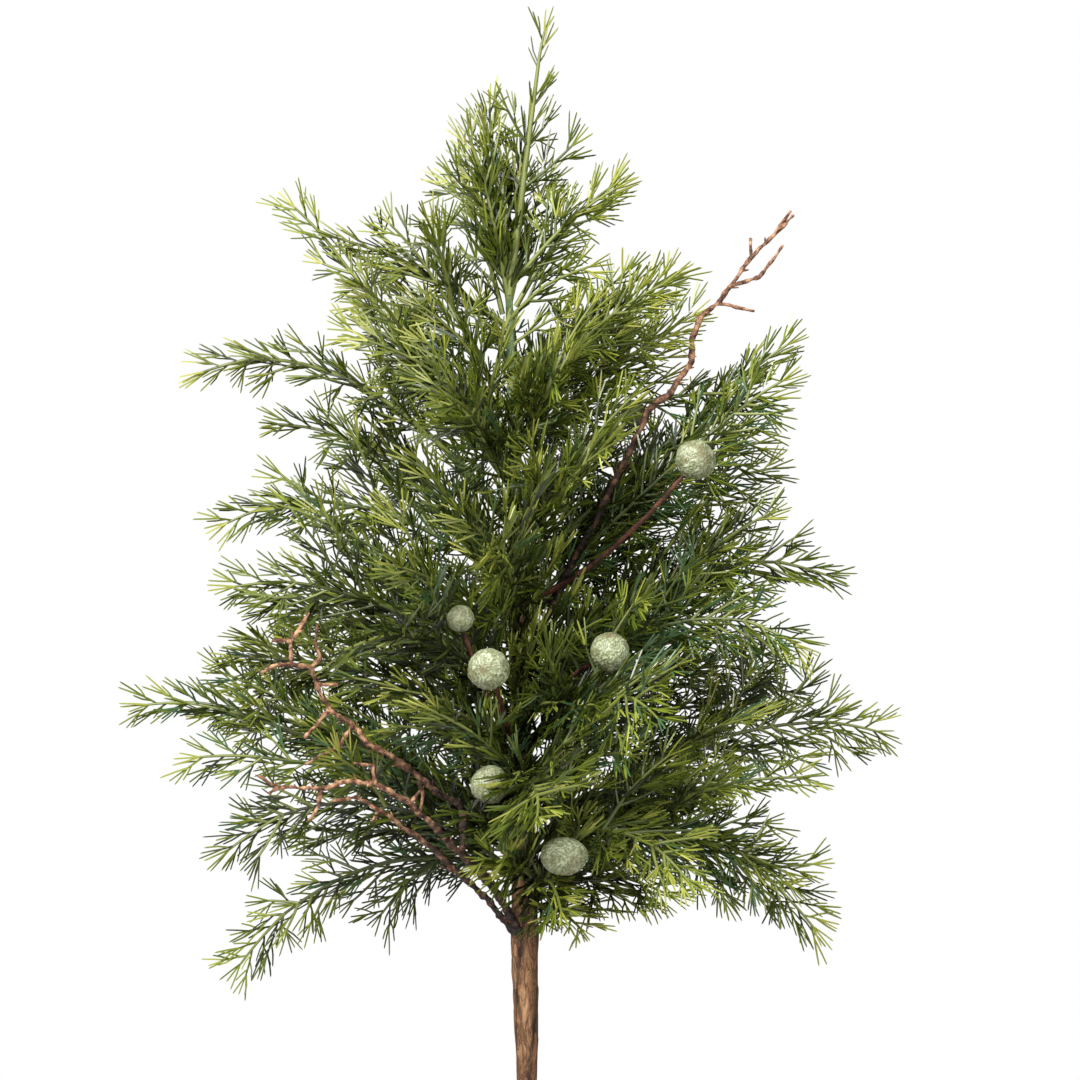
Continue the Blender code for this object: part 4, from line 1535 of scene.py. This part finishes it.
@dataclass
class Cones:
    """The round cones with wrinkled skins, and their stalks.

    Each fold is (weight, fineness) of one layer of wrinkles, which run along the cone as streaks.
    The dimple marks the cone's end.
    """

    trunk: Trunk
    detail: int = 6
    small_radius: float = 8
    fullness: float = 0.94
    stalk_root: float = 1.5
    stalk_tip: float = 1.1
    stalk_rings: int = 30
    stalk_sway_size: float = 9
    knob: float = 0.25
    knob_size: float = 2.5
    lumps: float = 0.05
    lump_fineness: float = 1.7
    wrinkles: float = 0.055
    streaks: float = 6.5
    streak_share: float = 0.4
    folds: tuple[tuple[float, float], ...] = ((0.8, 1), (0.7, 2.2), (0.45, 5))
    fold_gain: float = 1.35
    dimple: float = 0.1
    dimple_width: float = 0.02
    flatten: float = 0.94
    sides: int = 8

    def skin(self, cone: Cone, work: bmesh.types.BMesh) -> None:
        """Adds one cone's ball with its lumps and wrinkles to the joined mesh.

        Args:
            cone: the cone.
            work: the joined mesh.
        """
        way = (cone.middle - self.trunk.middle(cone.root)).normalized()
        depth = work.verts.layers.float["crease"]
        detail = self.detail - (cone.radius < self.small_radius)
        made = bmesh.ops.create_icosphere(work, subdivisions=detail, radius=1)
        shift = cone.middle.copy()
        for vert in made["verts"]:
            out = vert.co.normalized()
            pole = out.dot(way)
            flat = out - way * pole
            lumps = noise.noise(out * self.lump_fineness + shift) * self.lumps
            upward = way * pole * self.streaks * self.streak_share
            streaks = flat * self.streaks + upward + shift
            folded = sum(
                weight * abs(noise.noise(streaks * finer)) for weight, finer in self.folds
            )
            crease = min(folded * self.fold_gain, 1)
            dimple = self.dimple * math.exp(-((1 - pole) / self.dimple_width))
            reach = 1 + lumps + self.wrinkles * (crease - 0.5) - dimple
            placed = (flat + way * pole * self.flatten) * reach * cone.radius * self.fullness
            placed.x *= cone.stretch
            placed.z /= math.sqrt(cone.stretch)
            vert.co = (cone.middle + placed) * MM
            # The crease value also drives the skin's painted shade in the creases and painted
            # highlight on the ridges
            vert[depth] = crease

    def build(self, palette: Palette, tubes: TubeNodes) -> None:
        """Builds the joined cones and the joined stalks.

        Args:
            palette: the finishes.
            tubes: the nodes that make the stalks.
        """
        work = bmesh.new()
        work.verts.layers.float.new("crease")
        stalks = Lines()
        for number, cone in enumerate(CONES, 1):
            self.skin(cone, work)
            arc = Arc(self.trunk.middle(cone.root), cone.middle, cone.arch)
            offset = noise_place(random.Random(f"{SEED} stalk {number}"))
            points, radii = [], []
            thick = spaced(self.stalk_root, self.stalk_tip, self.stalk_rings)
            for t, radius in zip(spaced(0, 1, self.stalk_rings), thick):
                where = arc.point(t)
                sway = noise.noise(where / self.stalk_sway_size + offset)
                points.append(where + Vector((sway, 0, 0)))
                knob = noise.noise(where / self.knob_size + offset)
                radii.append(radius * (1 + self.knob * knob))
            stalks.add(points, radii, 0)
        mesh = bpy.data.meshes.new("cones")
        work.to_mesh(mesh)
        work.free()
        mesh.shade_smooth()
        nodes = [f"cone_{number}" for number in range(1, len(CONES) + 1)]
        place_piece("cone_skins", mesh, nodes, palette.chalk)
        stalk_mesh = tubes.tubes(stalks, self.sides, [palette.stalk])
        place_piece("cone_stalks", stalk_mesh, [])


# Sprays of needles

STEM_POINTS = 12
TWIG_POINTS = 6
FINE_POINTS = 3
# The share of a needle's length by which the needles at a twig's end pass its line
NEEDLE_OVERLAP = 0.9
# Side twigs are pale from this share of the stem outwards
PALE_FROM = 0.55
# The shares of a needle's length at which it has a point, and how thick it is at each
NEEDLE_SHARES = (0, 0.5, 0.92, 1)
NEEDLE_TAPER = (1, 0.95, 0.8, 0.35)
# How far the needles at a twig's end stray from their angle, and out of their plane
FORK_SWING = 4
FORK_LIFT = 7
# The angles of the needles at a twig's end, by their number
FORKS = {2: (-8, 9), 3: (-16, 1, 16)}


@dataclass(frozen=True)
class Blade:
    """The line and plane of a twig. It curls forward, along across, further out."""

    start: Vector
    along: Vector
    across: Vector
    length: float
    curl: float = 0.12

    def point(self, reach: float) -> Vector:
        """The point of the twig's line at a distance from its foot."""
        forward = self.curl * reach * reach / self.length
        return self.start + self.along * reach + self.across * forward

    def points(self, end: float, count: int) -> list[Vector]:
        """Points along the twig's line as far as end."""
        return [self.point(reach) for reach in spaced(0, end, count)]

    def direction(self, reach: float) -> Vector:
        """The line's direction at a distance from its foot."""
        return (self.along + self.across * 2 * self.curl * reach / self.length).normalized()

    def scaled(self, factor: float) -> "Blade":
        """The same twig at another length."""
        return replace(self, length=self.length * factor)


@dataclass(frozen=True)
class SprayRule:
    """The rule of the side twigs along a spray, the same as for the solids."""

    first_blade: float = 12
    pitch: float = 19
    pitch_spread: float = 0.15
    angle: float = 42
    angle_spread: float = 6
    twist: float = 22
    lift: float = 28
    size_spread: float = 0.1
    end_blade: float = 38
    envelope_foot: float = 0.7
    envelope_shrink: float = 0.6
    envelope_power: float = 0.7

    def envelope(self, share: float) -> float:
        """How long the side twigs are along a spray: longest at a third of it."""
        near = min(self.envelope_foot + share, 1)
        return near * (1 - self.envelope_shrink * share) ** self.envelope_power


@dataclass(frozen=True)
class ShootRule:
    """How shoots stand along a twig, on alternate sides of it."""

    first: float
    pitch: float
    angle: float
    angle_spread: float
    lift: float
    pitch_spread: float = 0.2


@dataclass(frozen=True)
class FineRule:
    """How side twigs carry finer twigs and needles.

    Each pair of radii is a twig's at its foot and at its tip. ranks are the turns round the stem
    of the twigs that stand with a side twig. share and taper give a finer twig's length: its
    share of the side twig at the foot, and how much shorter it is at the tip. fine_foot and
    fine_growth cut it near the foot. Each riser is (share of the stem, length, swing, steepness)
    of a smaller spray in the crown's inside.
    """

    stem_radii: tuple[float, float] = (1.5, 0.8)
    twig_radii: tuple[float, float] = (0.9, 0.62)
    fine_radii: tuple[float, float] = (0.64, 0.54)
    shoots: ShootRule = ShootRule(5, 8.4, 36, 8, 18)
    end_shoots: ShootRule = ShootRule(5, 5.2, 36, 8, 18)
    needles: ShootRule = ShootRule(3.4, 3.4, 30, 7, 24)
    ranks: tuple[float, ...] = (180, 90, -90)
    flat_from: float = 0.38
    partner_size: tuple[float, float] = (0.45, 0.9)
    partner_twist: float = 26
    between_to: float = 0.85
    between_size: tuple[float, float] = (0.35, 0.65)
    share: float = 0.56
    taper: float = 0.5
    end_share: float = 0.62
    end_taper: float = 0.4
    least_fine: float = 15
    most_fine: float = 30
    fork_length: float = 11
    needle_length: float = 10.5
    needle_length_spread: float = 0.2
    needle_curl: tuple[float, float] = (0.08, 0.3)
    needle_thickness: tuple[float, float] = (0.85, 1.1)
    fine_size: tuple[float, float] = (0.8, 1.1)
    fine_foot: float = 0.55
    fine_growth: float = 2.2
    three_tined: float = 0.6
    stem_needle_pitch: float = 9
    stem_needle_length: float = 14
    risers: tuple[tuple[float, float, float, float], ...] = (
        (0.08, 80, 35, 55),
        (0.24, 74, -50, 35),
        (0.42, 62, 55, 50),
    )
    riser_swing: tuple[float, float] = (0.5, 1.3)
    riser_steep_spread: float = 16
    riser_most: float = 0.6
    riser_size: tuple[float, float] = (0.85, 1.1)
    riser_roll: tuple[float, float] = (20, 80)
    riser_like_spray: float = 0.6
    riser_width: float = 34
    riser_pitch: float = 15
    riser_arch: float = 4
    cone_margin: float = 0.6


@dataclass(frozen=True)
class TintRule:
    """How fresh needles are, from 0 (base) to 1 (tip), and how many of them are bluish. The darker
    bases, inside the crown, are partly painted shade.

    along and outward are how much fresher they are at the tips of the stem and of a side twig,
    and fine_twig and fork how much the line of a finer twig and its fork differ from its needles.
    """

    base: float = 0.11
    along: float = 0.26
    outward: float = 0.27
    fine_twig: float = -0.12
    fork: float = 0.06
    tuft_spread: float = 0.09
    shade_spread: float = 0.085
    cool_sprays: float = 0.26
    cool_share: float = 0.6
    cool_needles: float = 0.7
    warm_share: float = 0.05


@dataclass(frozen=True)
class Tint:
    """How fresh a tuft of needles is, and whether it is bluish."""

    fresh: float
    cool: bool = False

    def fresher(self, more: float) -> "Tint":
        """The tint with that much more freshness."""
        return replace(self, fresh=self.fresh + more)


def about(chance: random.Random, middle: float, spread: float) -> float:
    """A value drawn from round its middle."""
    return middle + spread * chance.uniform(-1, 1)


def leaning(forward: Vector, aside: Vector, angle: float) -> tuple[Vector, Vector]:
    """A direction that leans aside by an angle, and the one square to it, towards forward.

    Args:
        forward: the direction.
        aside: the way it leans.
        angle: how far.

    Returns:
        The two directions.
    """
    lean = math.radians(angle)
    out = forward * math.cos(lean) + aside * math.sin(lean)
    return out, (forward - out * forward.dot(out)).normalized()


@dataclass
class Spray:
    """One mass of needles: a stem with side twigs, finer twigs on them, and tufts of needles.

    chance draws what the solids' rule draws, and finer draws the rest.
    """

    name: str
    arc: Arc
    start: float
    width: float
    roll: float
    pitch: float
    tone: Tone
    rule: SprayRule
    fine: FineRule
    filled: bool = False
    variant: int = 0
    tints: TintRule = TintRule()

    def __post_init__(self) -> None:
        """Starts the spray's rows of chances from its name, and measures its stem."""
        again = f" {self.variant}" if self.variant else ""
        self.chance = random.Random(f"{SEED} {self.name}{again}")
        self.finer = random.Random(f"{SEED} {self.name} fine{again}")
        cool = self.finer.random() < self.tints.cool_sprays and self.tone is not LIGHT
        self.bluish = self.tints.cool_share if cool else self.tints.warm_share
        self.length = self.arc.length() * (1 - self.start)
        self.end = 1 - (1 - self.start) * self.rule.end_blade / self.length

    def stem(self, share: float) -> tuple[Vector, Vector]:
        """The stem's place and direction at a share of its length."""
        t = self.start + (1 - self.start) * share
        return self.arc.point(t), self.arc.tangent(t)

    def side_blade(self, share: float, turn: float, side: int, chance: random.Random) -> Blade:
        """A side twig turned round the stem, at the full length of its place.

        Args:
            share: its place along the stem.
            turn: the angle it is turned by.
            side: 1 or -1, for the stem's side.
            chance: where its chances come from.

        Returns:
            The twig.
        """
        rule = self.rule
        foot, tangent = self.stem(share)
        level = turned(side_of(tangent), tangent, turn) * side
        along, across = leaning(tangent, level, about(chance, rule.angle, rule.angle_spread))
        across = turned(across, along, about(chance, 0, rule.lift))
        return Blade(foot, along, across, self.width * rule.envelope(share))

    def blades(self) -> Iterator[tuple[float, Blade]]:
        """The side twigs with their share along the stem, and the one that ends it.

        Yields:
            Each side twig with its share of the stem, the end one last.
        """
        rule, chance = self.rule, self.chance
        place, side = rule.first_blade, 1
        while place < self.length - rule.end_blade:
            share = place / self.length
            blade = self.side_blade(share, about(chance, self.roll, rule.twist), side, chance)
            yield share, blade.scaled(about(chance, 1, rule.size_spread))
            yield from self.companions(share, side)
            place += self.pitch * about(chance, 1, rule.pitch_spread)
            side = -side
        foot, tip = self.arc.point(self.end), self.arc.tip
        along = (tip - foot).normalized()
        across = turned(side_of(along), along, self.roll)
        yield 1.0, Blade(foot, along, across, (tip - foot).length)

    def companions(self, share: float, side: int) -> Iterator[tuple[float, Blade]]:
        """The twigs that stand with a side twig, and a shorter pair further along.

        Args:
            share: the side twig's place along the stem.
            side: 1 or -1, for its side.

        Yields:
            Each with its share along the stem.
        """
        fine = self.fine
        ranks = (180,) if not self.filled or share > fine.flat_from else fine.ranks
        opposite = 0 if side > 0 else 180
        for rank in ranks:
            yield share, self.partner(share, opposite + rank, fine.partner_size)
        further = share + self.pitch / 2 / self.length
        if further < fine.between_to:
            for rank in (0, 180):
                yield further, self.partner(further, rank, fine.between_size)

    def partner(self, share: float, rank: float, sizes: tuple[float, float]) -> Blade:
        """A side twig turned round the stem by rank, its length cut to a size drawn from sizes.

        Args:
            share: its place along the stem.
            rank: the angle from the spray's roll.
            sizes: the least and the largest size.

        Returns:
            The twig.
        """
        size = self.finer.uniform(*sizes)
        turn = about(self.finer, self.roll + rank, self.fine.partner_twist)
        return self.side_blade(share, turn, 1, self.finer).scaled(size)

    def risers(self) -> Iterator["Spray"]:
        """Smaller sprays that rise from the inner part of the stem and fill the crown.

        Yields:
            The sprays, not grown yet.
        """
        fine, uniform = self.fine, self.finer.uniform
        for number, (share, length, swing, steep) in enumerate(fine.risers):
            root, tangent = self.stem(share)
            level = Vector((tangent.x, tangent.y, 0)).normalized()
            level = turned(level, UP, swing * uniform(*fine.riser_swing))
            way, _ = leaning(level, UP, about(self.finer, steep, fine.riser_steep_spread))
            reach = min(length, self.length * fine.riser_most) * uniform(*fine.riser_size)
            like = uniform(0, 1) < fine.riser_like_spray
            tone = self.tone if like else self.finer.choice(list(Tone))
            yield Spray(
                f"{self.name} riser {number}", Arc(root, root + way * reach, fine.riser_arch), 0,
                fine.riser_width, uniform(*fine.riser_roll), fine.riser_pitch, tone,
                self.rule, fine,
            )

    def tint(self, share: float, out: float) -> Tint:
        """The tint of a tuft at a share of the stem and a share of a side twig.

        Args:
            share: the share of the stem.
            out: the share of the side twig.

        Returns:
            The tint.
        """
        rule = self.tints
        # Partly painted shade: tufts nearer the stem's foot, inside the crown, are darker; the
        # paler tips are the needles' own colour
        fresh = rule.base + rule.along * share + rule.outward * out
        cool = self.finer.random() < self.bluish * (1 - fresh)
        return Tint(fresh + self.tone.value + self.finer.gauss(0, rule.tuft_spread), cool)

    def shade(self, tint: Tint) -> int:
        """The shade of one needle of a tuft, with chance in it.

        Args:
            tint: the tuft's tint.

        Returns:
            The number of the needle's material.
        """
        if tint.cool and self.finer.random() < self.tints.cool_needles:
            return BLUISH
        value = tint.fresh + self.finer.gauss(0, self.tints.shade_spread)
        return max(0, min(int(value * (FRESHEST + 1)), FRESHEST))

    def grow(self, twigs: Lines, needles: Lines) -> None:
        """Adds the spray's stem, twigs and needles to its joined pieces.

        Args:
            twigs: the lines of the joined twigs.
            needles: those of the joined needles.
        """
        self.twigs, self.needles = twigs, needles
        points = [self.arc.point(t) for t in spaced(self.start, self.end, STEM_POINTS)]
        radii = spaced(*self.fine.stem_radii, STEM_POINTS)
        twigs.add(points, radii, STEM_OF_TONE[self.tone])
        for share, blade in self.blades():
            self.side_twig(blade, share)
        self.stem_needles()
        if self.filled:
            for riser in self.risers():
                riser.grow(twigs, needles)

    def shoots(
        self, twig: Blade, end: float, across: Vector, rule: ShootRule
    ) -> Iterator[tuple[float, Vector, Vector]]:
        """The shoots along a twig as far as end: the place, direction and plane of each.

        Args:
            twig: the twig.
            end: how far along it they stand.
            across: the direction that they lean along, to either side in turn.
            rule: how they stand.

        Yields:
            The shoots in order.
        """
        side = 1 if self.finer.uniform(-1, 1) > 0 else -1
        place = rule.first
        while place < end:
            direction = twig.direction(place)
            aside = turned(across, direction, about(self.finer, 0, rule.lift)) * side
            angle = about(self.finer, rule.angle, rule.angle_spread)
            yield place, *leaning(direction, aside, angle)
            place += rule.pitch * about(self.finer, 1, rule.pitch_spread)
            side = -side

    def side_twig(self, blade: Blade, share: float) -> None:
        """Grows a side twig with its finer twigs and a tuft at its end.

        Args:
            blade: the twig's line.
            share: its place along the stem.
        """
        fine = self.fine
        end = blade.length - fine.needle_length * NEEDLE_OVERLAP
        if end < fine.shoots.first:
            self.needle(blade.start, blade.along, blade.across, blade.length, self.tint(share, 0.5))
            return
        self.twigs.add(
            blade.points(end, TWIG_POINTS), spaced(*fine.twig_radii, TWIG_POINTS),
            2 if share > PALE_FROM else 1,
        )
        last = share == 1
        rule = fine.end_shoots if last else fine.shoots
        for place, way, forward in self.shoots(blade, end, blade.across, rule):
            out = place / blade.length
            if last:
                length = blade.length * fine.end_share * (1 - fine.end_taper * out)
            else:
                length = blade.length * fine.share * (1 - fine.taper * out)
                length *= min(fine.fine_foot + out * fine.fine_growth, 1)
            length *= self.finer.uniform(*fine.fine_size)
            length = max(fine.least_fine, min(length, fine.most_fine))
            self.fine_twig(blade.point(place), way, forward, length, self.tint(share, out))
        self.fork(blade.point(end), blade.direction(end), blade.across, self.tint(share, 1), 3)

    def fine_twig(
        self, start: Vector, way: Vector, forward: Vector, length: float, tint: Tint
    ) -> None:
        """Grows one finer twig: needles in turn along it and a fork at its end.

        Args:
            start: its foot.
            way: its direction.
            forward: the way it curls.
            length: its length.
            tint: its needles' tint.
        """
        fine = self.fine
        if length < fine.fork_length:
            self.needle(start, way, forward, length, tint)
            return
        twig = Blade(start, way, forward, length)
        end = length - fine.needle_length * NEEDLE_OVERLAP
        shade = self.shade(tint.fresher(self.tints.fine_twig))
        radii = spaced(*fine.fine_radii, FINE_POINTS)
        self.needles.add(twig.points(end, FINE_POINTS), radii, shade)
        for place, out, ahead in self.shoots(twig, end, forward, fine.needles):
            self.needle(twig.point(place), out, ahead, self.needle_reach(), tint)
        tines = 3 if self.finer.uniform(0, 1) < fine.three_tined else 2
        tint = tint.fresher(self.tints.fork)
        self.fork(twig.point(end), twig.direction(end), forward, tint, tines)

    def fork(self, foot: Vector, way: Vector, across: Vector, tint: Tint, tines: int) -> None:
        """Adds the needles at a twig's end.

        Args:
            foot: where they start.
            way: the twig's direction there.
            across: a direction in the plane that they spread in.
            tint: their tint.
            tines: how many there are.
        """
        normal = way.cross(across).normalized()
        uniform = self.finer.uniform
        for angle in FORKS[tines]:
            out = turned(way, normal, angle + uniform(-FORK_SWING, FORK_SWING))
            out = turned(out, across, uniform(-FORK_LIFT, FORK_LIFT))
            self.needle(foot, out, way, self.needle_reach(), tint)

    def needle_reach(self) -> float:
        """How long one needle is."""
        return self.fine.needle_length * about(self.finer, 1, self.fine.needle_length_spread)

    def needle(
        self, start: Vector, way: Vector, ahead: Vector, length: float, tint: Tint
    ) -> None:
        """Adds one blunt needle, unless it would run into a cone.

        Args:
            start: its foot.
            way: its direction.
            ahead: the way it curls.
            length: its length.
            tint: the tuft's tint.
        """
        fine, uniform = self.fine, self.finer.uniform
        radius = fine.fine_radii[1] * uniform(*fine.needle_thickness)
        bend = ahead * uniform(*fine.needle_curl) * length
        points = [start + way * length * s + bend * s * s for s in NEEDLE_SHARES]
        for cone in CONES:
            near = cone.radius * cone.stretch + radius + fine.cone_margin
            if min((p - cone.middle).length for p in points) < near:
                return
        self.needles.add(points, [radius * k for k in NEEDLE_TAPER], self.shade(tint))

    def stem_needles(self) -> None:
        """Adds single needles round the stem between its side twigs."""
        fine, uniform = self.fine, self.finer.uniform
        place = fine.shoots.first
        while place < self.length - self.rule.end_blade:
            share = place / self.length
            foot, tangent = self.stem(share)
            around = turned(side_of(tangent), tangent, uniform(0, 360))
            way, _ = leaning(tangent, around, fine.shoots.angle)
            reach = fine.stem_needle_length * uniform(0.7, 1.2)
            self.fine_twig(foot, way, tangent, reach, self.tint(share, 0.1))
            place += fine.stem_needle_pitch * uniform(0.7, 1.3)


@dataclass
class Crown:
    """All the sprays, joined by side into pieces of twigs and pieces of needles."""

    trunk: Trunk
    rule: SprayRule = SprayRule()
    fine: FineRule = FineRule()
    stem_root_radius: float = 1.9
    stem_sides: int = 3
    leader_tip: Triple = (9, 0, 669)
    leader_width: float = 90
    leader_roll: float = 28
    leader_variant: int = 89
    leader_stem: tuple[float, float] = (2.3, 0.9)
    leader_bare: float = 54
    leader_needle_pitch: float = 20
    leader_pitch: float = 19
    leader_shrink: float = 0.75
    leader_power: float = 2
    leader_end: float = 25
    sprig_arch: float = 5
    sprig_pitch: float = 15
    twig_sides: int = 5
    needle_sides: int = 3

    def sprays(self) -> Iterator[tuple[Side, Spray]]:
        """Every spray with the side it belongs to.

        Yields:
            Each spray with its side, in the order of the tables, the leader last.
        """
        for branch in BRANCHES:
            arc = branch_arc(self.trunk, branch)
            if branch.bare:
                start = branch.bare + self.trunk.clearance / arc.length()
            else:
                start = self.trunk.start_clear(arc, self.stem_root_radius, self.stem_sides)
            yield branch.side, Spray(
                f"foliage_{branch.name}", arc, start, branch.width, branch.roll,
                self.rule.pitch, branch.tone, self.rule, self.fine, branch.filled, branch.variant,
            )
        for number, sprig in enumerate(SPRIGS, 1):
            arc = Arc(self.trunk.middle(sprig.root), Vector(sprig.tip), self.sprig_arch)
            yield sprig.side, Spray(
                f"sprig_{number}", arc, 0, sprig.width, sprig.roll,
                self.sprig_pitch, sprig.tone, self.rule, self.fine, variant=sprig.variant,
            )
        yield Side.LEADER, self.leader()

    def leader(self) -> Spray:
        """The spray that crowns the trunk: bare at its foot, with pairs of twigs above.

        Returns:
            The spray, not grown yet.
        """
        root = self.trunk.middle(self.trunk.tip_height) + UP * self.trunk.clearance
        rule = replace(
            self.rule, pitch=self.leader_pitch, first_blade=self.leader_bare,
            envelope_shrink=self.leader_shrink, envelope_power=self.leader_power,
            end_blade=self.leader_end,
        )
        fine = replace(
            self.fine, stem_radii=self.leader_stem, between_to=0,
            stem_needle_pitch=self.leader_needle_pitch,
        )
        return Spray(
            "foliage_leader", Arc(root, Vector(self.leader_tip), 0), 0, self.leader_width,
            self.leader_roll, rule.pitch, LIGHT, rule, fine,
            variant=self.leader_variant,
        )

    def build(self, palette: Palette, needles: TubeNodes, stems: TubeNodes) -> None:
        """Grows every spray and joins them.

        Args:
            palette: the finishes.
            needles: the nodes that make the needles.
            stems: the nodes that make the twigs.
        """
        leaves = {side: Lines() for side in Side}
        twigs = Lines()
        owners: dict[Side, list[str]] = {side: [] for side in Side}
        for side, spray in self.sprays():
            spray.grow(twigs, leaves[side])
            if spray.name.startswith("foliage_"):
                owners[side].append(spray.name)
        for side in Side:
            mesh = needles.tubes(leaves[side], self.needle_sides, palette.needles)
            place_piece(f"needles_{side.value}", mesh, owners[side])
        mesh = stems.tubes(twigs, self.twig_sides, palette.stems)
        place_piece("spray_twigs", mesh, [])


# The studio


@dataclass(frozen=True)
class Lamp:
    """A soft lamp that faces the plant."""

    name: str
    place: Triple
    power: float
    size: float = 0.9
    target: Triple = (0, 0, 0.4)

    def build(self) -> None:
        """Sets up the lamp."""
        data = bpy.data.lights.new(self.name, "AREA")
        data.size = self.size
        data.energy = self.power
        lamp = stand(self.name, data)
        lamp.location = self.place
        way = Vector(self.target) - Vector(self.place)
        lamp.rotation_euler = way.to_track_quat("-Z", "Y").to_euler()


@dataclass
class Studio:
    """Floor, light and camera."""

    floor_radius: float = 0.86
    floor_height: float = -0.0002
    camera_place: Triple = (0.0065, -1.8, 0.405)
    lens: float = 120
    sensor: float = 36
    ambient: float = 0.1
    ambient_tint: Triple = (1, 0.95, 0.8)
    lamps: tuple[Lamp, ...] = (
        Lamp("key_lamp", (-0.9, -1.3, 1.7), 88),
        Lamp("fill_lamp", (1.1, -1.3, 1.0), 22),
    )

    def build(self, palette: Palette) -> None:
        """Sets up everything round the plant.

        Args:
            palette: the finishes.
        """
        self.floor(palette)
        self.world()
        for lamp in self.lamps:
            lamp.build()
        self.camera()
        bpy.context.scene.view_settings.view_transform = "Standard"

    def floor(self, palette: Palette) -> None:
        """A pale round floor under the pot.

        Args:
            palette: the finishes.
        """
        mesh = bpy.data.meshes.new("studio_floor")
        work = bmesh.new()
        bmesh.ops.create_circle(work, cap_ends=True, segments=96, radius=self.floor_radius)
        work.to_mesh(mesh)
        work.free()
        mesh.materials.append(palette.floor)
        floor = stand("studio_floor", mesh)
        floor.location.z = self.floor_height

    def world(self) -> None:
        """A white backdrop for the camera, and softer light from all round."""
        world = bpy.data.worlds.new("studio")
        world.use_nodes = True
        graph = Graph(world.node_tree)
        light = world.node_tree.nodes["Background"]
        light.inputs["Color"].default_value = (*self.ambient_tint, 1)
        light.inputs["Strength"].default_value = self.ambient
        white = graph.add("ShaderNodeBackground", {"Color": (1, 1, 1, 1), "Strength": 1})
        seen = graph.add("ShaderNodeLightPath").outputs["Is Camera Ray"]
        feeds = {0: seen, 1: light.outputs["Background"], 2: white.outputs["Background"]}
        either = graph.add("ShaderNodeMixShader", feeds).outputs["Shader"]
        out = world.node_tree.nodes["World Output"]
        world.node_tree.links.new(either, out.inputs["Surface"])
        bpy.context.scene.world = world

    def camera(self) -> None:
        """The camera at the photo's viewing angle, level and straight on."""
        data = bpy.data.cameras.new("camera")
        data.lens = self.lens
        data.sensor_width = self.sensor
        camera = stand("camera", data)
        camera.location = self.camera_place
        camera.rotation_euler = (math.pi / 2, 0, 0)
        bpy.context.scene.camera = camera


def write_sizes() -> None:
    """Updates the view layer."""
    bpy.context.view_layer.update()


def main() -> None:
    """Builds the plant from its pot upwards, then the studio."""
    palette = Palette()
    plain_tubes = TubeNodes("Tubes", 1)
    needle_tubes = TubeNodes("Needle tubes", len(NEEDLE_SHADES))
    stem_tubes = TubeNodes("Stem tubes", len(STEM_SHADES))
    trunk = Trunk()
    pot = Pot()
    pot.build(palette)
    Filling(pot).build(palette)
    trunk.build(palette)
    Boughs(trunk).build(palette)
    BareTwigs().build(palette, plain_tubes)
    Cones(trunk).build(palette, plain_tubes)
    Crown(trunk).build(palette, needle_tubes, stem_tubes)
    Studio().build(palette)
    write_sizes()


if __name__ == "__main__":
    main()
